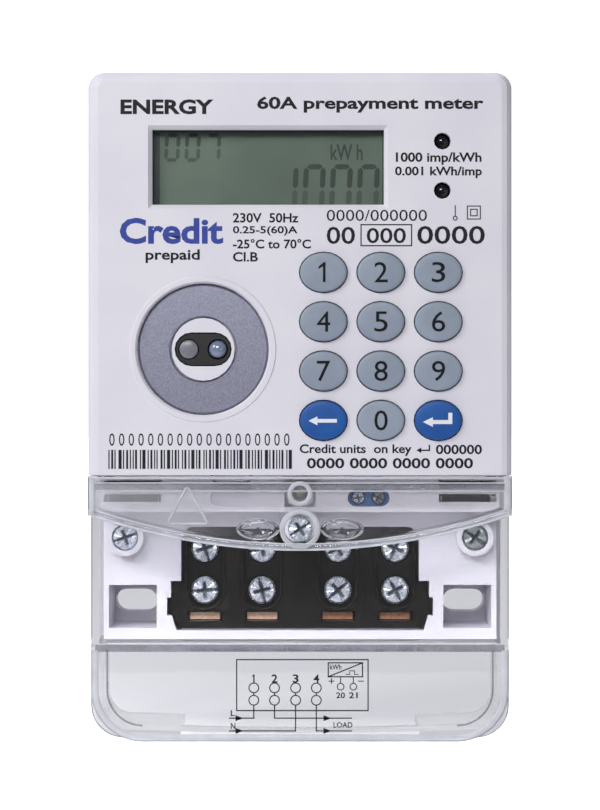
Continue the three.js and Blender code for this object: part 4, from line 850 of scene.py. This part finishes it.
ON_COVER = FACE + 0.03  # just clear of the cover's front, so that no faces coincide
ON_PANEL = PANEL + 0.03  # just clear of its lower panel
SMILE_LOW, SMILE_HALF, SMILE_RISE = -35.0, 51.6, 8.6  # the curved lower edge of the front
TRAY_TOP, TRAY_CORNER = -60.5, 13.0  # where the lower panel starts, and its corners
BAR_HALF = 51.9  # the half length of the bars along the top
EAR_X, EAR_TOP, EAR_LOW = 51.4, -17.2, -25.8
WALL_HALF = 51.4  # the half length of the walls that are seen end on
POST_Z, POST_RADIUS = -20.8, 2.5
WING_X = 10.4
# The profiles of a finger wing and of the screw's boss: (radius, rise over the face).
WING = ((5.4, 0.03), (5.3, 0.5), (5.0, 0.85), (4.4, 1.0), (3.8, 0.95), (3.2, 0.5), (0.05, 0.45))
BOSS = ((3.7, 0.03), (5.1, 0.03), (5.0, 0.7), (4.7, 0.95), (4.1, 0.95), (3.8, 0.7))
TRIANGLE = ((-27.9, -18.9), (-32.8, -28.3), (-22.6, -28.3))
# The painted glare's upper edge, and how it ends above the screw.
GLARE_TOP, GLARE_LOW_AT_SCREW, GLARE_HALF_AT_SCREW = -18.5, -24.3, 5.3


def cover_piece(name, shape, look, smooth=None):
    """A piece that belongs to the clear cover."""
    piece(name, shape, look, "terminal_cover", smooth)


def smile(inset):
    """Points along the lower edge of the cover's front, from left to right."""
    radius = (SMILE_HALF ** 2 + SMILE_RISE ** 2) / (2 * SMILE_RISE)
    reach = math.degrees(math.asin(SMILE_HALF / radius))
    return arc(0, SMILE_LOW + radius, radius - inset, 270 - reach, 270 + reach, 64)


def tray(inset):
    """Points round the lower edge of the cover, from the left side to the right one."""
    low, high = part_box("terminal_cover")
    half, bottom = high.x / MM - inset, low.z / MM + inset
    corner = TRAY_CORNER - inset
    turn = bottom + corner
    line = [(-half, TRAY_TOP + (turn - TRAY_TOP) * i / 6) for i in range(6)]
    line += arc(-half + corner, turn, corner, 180, 270, 12)
    line += arc(half - corner, turn, corner, 270, 360, 12)
    return line + [(half, turn - (turn - TRAY_TOP) * i / 6) for i in range(1, 7)]


def cover_glass():
    """Thick clear mouldings on the cover: its edges, finger wings, screw boss and post, with pale
    beads of painted glint and grey lines of painted shade along them.
    """
    x, z = middle("cover_screw")
    shape = bmesh.new()
    bead(shape, smile(0.95), 0.95, ON_COVER, 0.8)
    cover_piece("cover_smile", shape, "clear", 50)
    # Pale lines along the curved edge and the top bars: painted glints.
    shape = bmesh.new()
    bead(shape, smile(0.3), 0.22, FACE + 0.9, 0.2)
    bead(shape, smile(1.75), 0.18, FACE + 0.9, 0.2)
    for height, radius in ((-20.2, 0.2), (-18.2, 0.2), (-17.0, 0.3)):
        bead(shape, [(-BAR_HALF, height), (0, height), (BAR_HALF, height)], radius, ON_COVER, 0.3)
    cover_piece("cover_glint_lines", shape, "painted_glint", 50)
    for side, name in ((-1, "left"), (1, "right")):
        shape = bmesh.new()
        turned(shape, side * WING_X, z, [(radius, FACE + rise) for radius, rise in WING], 0.5)
        cover_piece("cover_wing_" + name, shape, "clear", 50)
        shape = bmesh.new()
        bead(shape, [(side * EAR_X, EAR_TOP), (side * EAR_X, EAR_LOW)], 0.8, ON_COVER, 0.5)
        cover_piece("cover_ear_" + name, shape, "painted_glint", 50)
    shape = bmesh.new()
    hoop(shape, x, z, [(radius, FACE + rise) for radius, rise in BOSS])
    cover_piece("cover_boss", shape, "painted_glint", 30)
    shape = bmesh.new()
    bead(shape, arc(0, POST_Z, POST_RADIUS, 0, 360, 48)[:-1], 0.6, ON_COVER, 0.5, True)
    cover_piece("cover_post_rim", shape, "painted_glint", 50)
    shape = bmesh.new()
    bead(shape, tray(1.0), 0.9, ON_PANEL, 0.5)
    cover_piece("cover_tray_rim", shape, "painted_glint", 50)
    # Grey lines where the tray's walls are seen through the lower panel: painted shade.
    shape = bmesh.new()
    bead(shape, [point for point in tray(4.1) if point[0] < -30], 0.24, ON_PANEL, 0.2)
    bead(shape, [point for point in tray(4.1) if point[0] > 30], 0.24, ON_PANEL, 0.2)
    bead(shape, tray(0.25), 0.22, ON_PANEL, 0.2)
    cover_piece("cover_tray_shade_lines", shape, "shade", 50)


def cover_relief():
    """A plain raised triangle on the cover, its bead in the pale material of painted glints."""
    shape = bmesh.new()
    line = []
    for (x0, z0), (x1, z1) in zip(TRIANGLE, TRIANGLE[1:] + TRIANGLE[:1]):
        line += [(x0 + (x1 - x0) * share, z0 + (z1 - z0) * share) for share in (0.06, 0.5, 0.94)]
    bead(shape, line, 0.32, ON_COVER, 0.3, True)
    cover_piece("cover_triangle", shape, "painted_glint", 50)


def cover_shades():
    """The walls of the clear cover that are seen end on, as bands of painted light and shade in the
    plastic: pale along the curved edge, grey along the rib and the web.
    """
    within = (FACE - 0.5, FACE - 0.45)
    shape = bmesh.new()
    band(shape, smile(0.1), smile(1.8), *within)
    cover_piece("cover_smile_wall", shape, "edge")
    shape = bmesh.new()
    block(shape, -WALL_HALF, WALL_HALF, -19.9, -18.4, *within)
    cover_piece("cover_rib_wall", shape, "shade")
    shape = bmesh.new()
    block(shape, -WALL_HALF, WALL_HALF, -60.9, -59.1, PANEL + 0.02, PANEL + 0.06)
    cover_piece("cover_web_wall", shape, "shade")


def cover_painted_glare():
    """The painted glare over the cover's front, down to its curved edge and clear of the screw."""
    shape = bmesh.new()
    line = [(x, z if abs(x) > GLARE_HALF_AT_SCREW else GLARE_LOW_AT_SCREW) for x, z in smile(1.9)]
    band(shape, [(x, GLARE_TOP) for x, z in line], line, FACE + 0.01, FACE + 0.02)
    bmesh.ops.remove_doubles(shape, verts=shape.verts, dist=1e-6)
    cover_piece("cover_painted_glare", shape, "painted_glare")


# ---------------------------------------------------------------- wiring diagram

LINE, THIN_LINE, ICON_LINE = 0.3, 0.25, 0.2
DIAGRAM_RISE = 0.45  # the whole diagram is drawn this much too low, then moved up
COLUMNS = (-11.6, -6.4, -1.1, 4.1)  # the terminals 1 to 4
UPPER_RING, LOWER_RING, RING_FOOT = -70.4, -73.5, -75.0
LIVE, NEUTRAL = -78.0, -81.2  # the heights of the two mains lines
SUPPLY_END, LOAD_END = -17.7, 12.9
OUTLINE = [(-15.9, -76.1), (17.1, -76.1), (17.1, -63.3), (-15.9, -63.3), (-15.9, -76.1)]
NUMERAL_ONE = [(-11.75, -69.1), (-11.4, -69.1), (-11.4, -67.0), (-11.65, -67.0),
               (-12.2, -67.6), (-11.75, -67.5)]
# Lines: the points and the width.
DIAGRAM_LINES = (
    (OUTLINE, LINE),
    ([(COLUMNS[0], RING_FOOT), (COLUMNS[0], LIVE), (SUPPLY_END, LIVE)], LINE),
    ([(COLUMNS[2], RING_FOOT), (COLUMNS[2], NEUTRAL), (SUPPLY_END, NEUTRAL)], LINE),
    ([(COLUMNS[1], RING_FOOT), (COLUMNS[1], LIVE), (LOAD_END, LIVE)], LINE),
    ([(COLUMNS[3], RING_FOOT), (COLUMNS[3], NEUTRAL), (LOAD_END, NEUTRAL)], LINE),
    ([(7.1, -67.6), (15.7, -67.6), (15.7, -64.1), (7.1, -64.1), (7.1, -67.6), (15.7, -64.1)], LINE),
    ([(11.6, -67.0), (12.5, -67.0), (12.5, -66.1), (13.7, -66.1), (13.7, -67.0), (14.6, -67.0)],
     ICON_LINE),
    ([(7.3, -68.7), (8.5, -68.7)], THIN_LINE),
    ([(7.9, -68.1), (7.9, -69.3)], THIN_LINE),
    ([(14.7, -68.7), (15.9, -68.7)], THIN_LINE),
)
# Words: the text, its left, right, low and high.
DIAGRAM_WORDS = (
    ("L", -17.4, -16.4, -77.5, -76.0),
    ("N", -17.4, -16.2, -80.7, -79.2),
    ("LOAD", 8.4, 13.2, -80.4, -79.0),
    ("kWh", 7.5, 10.4, -65.8, -64.5),
)
PULSE_TERMINALS = ((10.2, "20"), (13.4, "21"))


def wiring_diagram():
    """The connection diagram on the lower panel, with numbers and phase letters only."""
    depths = (PANEL + 0.02, PANEL + 0.05)
    shape = bmesh.new()
    for i, x in enumerate(COLUMNS):
        ring(shape, x, UPPER_RING, 1.08, 1.36, *depths, 28)
        ring(shape, x, LOWER_RING, 1.08, 1.36, *depths, 28)
        stroke(shape, [(x, -71.9), (x, -72.0)], LINE, *depths)
        if i:
            letters(shape, str(i + 1), x - 0.75, x + 0.75, -69.1, -67.0, *depths, 0.02)
    slab(shape, NUMERAL_ONE, *depths)
    for points, width in DIAGRAM_LINES:
        stroke(shape, points, width, *depths)
    for x in (-14.2, 7.9):
        for z in (LIVE, NEUTRAL):
            slab(shape, [(x, z), (x - 2.0, z + 0.75), (x - 2.0, z - 0.75)], *depths)
    for text, left, right, low, high in DIAGRAM_WORDS:
        letters(shape, text, left, right, low, high, *depths, 0.02)
    for x, text in PULSE_TERMINALS:
        stroke(shape, [(x, -67.7), (x, -69.2)], THIN_LINE, *depths)
        ring(shape, x, -70.1, 0.72, 0.96, *depths, 24)
        letters(shape, text, x - 1.1, x + 1.1, -73.0, -71.5, *depths, 0.02)
    bmesh.ops.translate(shape, verts=shape.verts, vec=(0, 0, DIAGRAM_RISE * MM))
    piece("wiring_diagram", shape, "ink", "terminal_cover")


# ---------------------------------------------------------------- terminal block and ledge

CLEAR_OF = 0.02  # the gap that keeps a raised piece off the surface behind it
RIM_RADIUS = 5.0  # of the rim round a pair of terminal screws
RIB_LOW, RIB_HIGH = -51.5, -31.5
LEDGE = FACE - 9


def block_ribs():
    """Rounded rims round each pair of screws, and thin ribs between the terminals."""
    top = front("terminal_block")
    near = top + CLEAR_OF
    shape = bmesh.new()
    for clamp in range(1, 5):
        x, high_z = middle("terminal_screw_%d_upper" % clamp)
        x, low_z = middle("terminal_screw_%d_lower" % clamp)
        line = arc(x, high_z - 0.2, RIM_RADIUS, 0, 180, 16)
        line += arc(x, low_z + 0.2, RIM_RADIUS, 180, 360, 16)
        bead(shape, line, 0.35, near, 0.35, True)
        for side in (-1, 1):
            rib = [(x + side * 6.0, -51.6), (x + side * 5.3, -55.4)]
            stroke(shape, rib, 0.4, near, top + 0.4)
    for x in (-17.05, 0.0, 17.05):
        block(shape, x - 1.2, x - 0.8, RIB_LOW, RIB_HIGH, near, top + 0.45)
        block(shape, x + 0.8, x + 1.2, RIB_LOW, RIB_HIGH, near, top + 0.45)
    piece("block_ribs", shape, "block", "root", 50)


def blind_slot():
    """A darker bead round the unused slot in the ledge: painted shade at the slot's edge."""
    aux_x, z = middle("aux_terminal")
    x = -aux_x
    shape = bmesh.new()
    line = arc(x + 3.0, z, 1.9, -90, 90, 12) + arc(x - 3.0, z, 1.9, 90, 270, 12)
    bead(shape, line, 0.35, LEDGE + CLEAR_OF, 0.3, True)
    piece("ledge_slot_shade", shape, "recess", "root", 50)


def ledge_plate():
    """The part of the ledge round the cover's post."""
    top = front("tamper_plunger")
    shape = bmesh.new()
    block(shape, -4.0, -3.2, -24.6, -17.0, top + 0.6, top + 1.6)
    block(shape, 3.2, 4.0, -24.6, -17.0, top + 0.6, top + 1.6)
    ring(shape, 0, POST_Z, 3.2, 3.9, top + 1.7, top + 2.6)
    piece("ledge_plate", shape, "white", "root")


# ---------------------------------------------------------------- stage

FLOOR_HALF = 6.0
FLOOR_FRONT = -0.22  # nothing pale further forward, so that the glossy parts stay dark
FLOOR_GAP = 0.001
CAMERA_AT = (0, -0.700, 0.0011)
# The half width that the camera sees, and the distance at which it does, in millimetres.
SEEN_HALF, SEEN_AT = 74.2, 650

# Soft boxes: the name, the place, the size and the power.
SOFT_BOXES = (
    ("key_light", (-0.55, -0.6, 0.45), (0.26, 0.26), 2.6),
    ("front_light", (-0.12, -0.78, 0.37), (0.3, 0.14), 2.5),
    ("fill_light", (0.5, -0.75, 0.06), (0.3, 0.3), 0.2),
    ("top_light", (0.0, 0.0, 0.9), (0.6, 0.4), 0.6),
)


def lamp(name, place, size, power):
    """A soft box aimed at the middle of the object."""
    data = bpy.data.lights.new(name, "AREA")
    data.shape = "RECTANGLE"
    data.size, data.size_y = size
    data.energy = power
    light = bpy.data.objects.new(name, data)
    light.location = place
    light.rotation_euler = (-Vector(place)).to_track_quat("-Z", "Y").to_euler()
    bpy.context.scene.collection.objects.link(light)


def floor():
    """A pale studio floor just under the object."""
    look, shader = new_look("floor", Roughness=0.9, Emission_Color=(0.97, 0.97, 1, 1))
    shades = [(0.3, (0.72, 0.72, 0.76, 1)), (0.7, (0.74, 0.74, 0.78, 1))]
    feed(look, shader.inputs["Base Color"], ramp(look, noise(look, 200.0), shades))
    path = add(look, "LightPath")
    glow = between(look, path.outputs["Is Camera Ray"], 0.28, 0.95)
    feed(look, shader.inputs["Emission Strength"], glow)
    low = CAD_BOX[0][2] - FLOOR_GAP
    corners = [(-FLOOR_HALF, FLOOR_FRONT, low), (FLOOR_HALF, FLOOR_FRONT, low),
               (FLOOR_HALF, FLOOR_HALF, low), (-FLOOR_HALF, FLOOR_HALF, low)]
    mesh = bpy.data.meshes.new("floor")
    mesh.from_pydata(corners, [], [(0, 1, 2, 3)])
    mesh.materials.append(look)
    obj = bpy.data.objects.new("floor", mesh)
    bpy.context.scene.collection.objects.link(obj)


def world():
    """White behind the object, and a softer grey all round it to light it."""
    sky = bpy.data.worlds.new("studio")
    sky.use_nodes = True
    sky.node_tree.nodes.clear()
    place = add(sky, "SeparateXYZ", Vector=add(sky, "TexCoord").outputs["Generated"])
    spread = add(sky, "MapRange", Value=place.outputs["Y"],
                 From_Min=-0.9, From_Max=0.1, To_Min=0.17, To_Max=0.62)
    side = add(sky, "MapRange", Value=place.outputs["X"],
               From_Min=0.1, From_Max=0.7, To_Min=1.0, To_Max=0.05)
    both = add(sky, "Math", {"operation": "MULTIPLY"})
    feed(sky, both.inputs[0], spread.outputs[0])
    feed(sky, both.inputs[1], side.outputs[0])
    around = add(sky, "Background", Color=(0.95, 0.96, 1.0, 1), Strength=both.outputs[0])
    seen = add(sky, "Background", Color=(1, 1, 1, 1), Strength=1.05)
    mix = add(sky, "MixShader", Fac=add(sky, "LightPath").outputs["Is Camera Ray"])
    feed(sky, mix.inputs[1], around.outputs[0])
    feed(sky, mix.inputs[2], seen.outputs[0])
    output = add(sky, "OutputWorld")
    feed(sky, output.inputs["Surface"], mix.outputs[0])
    bpy.context.scene.world = sky


def camera():
    """Straight at the face, level with the middle of the case."""
    data = bpy.data.cameras.new("camera")
    data.sensor_fit = "HORIZONTAL"
    data.angle = 2 * math.atan(SEEN_HALF / SEEN_AT)
    data.clip_start = 0.01
    obj = bpy.data.objects.new("camera", data)
    obj.location = CAMERA_AT
    obj.rotation_euler = (math.pi / 2, 0, 0)
    bpy.context.scene.collection.objects.link(obj)
    bpy.context.scene.camera = obj


face_print()
bar_marks()
blue_mark()
display()
for name in KEYS:
    key_cap(name)
    key_mark(name)
for settings in LAMPS:
    lens(*settings)
for name, (look, turn) in SCREWS.items():
    screw(name, look, turn)
port_ring()
cover_glass()
cover_relief()
cover_shades()
cover_painted_glare()
wiring_diagram()
block_ribs()
blind_slot()
ledge_plate()

camera()
world()
floor()
for settings in SOFT_BOXES:
    lamp(*settings)
bpy.context.scene.view_settings.view_transform = "Standard"
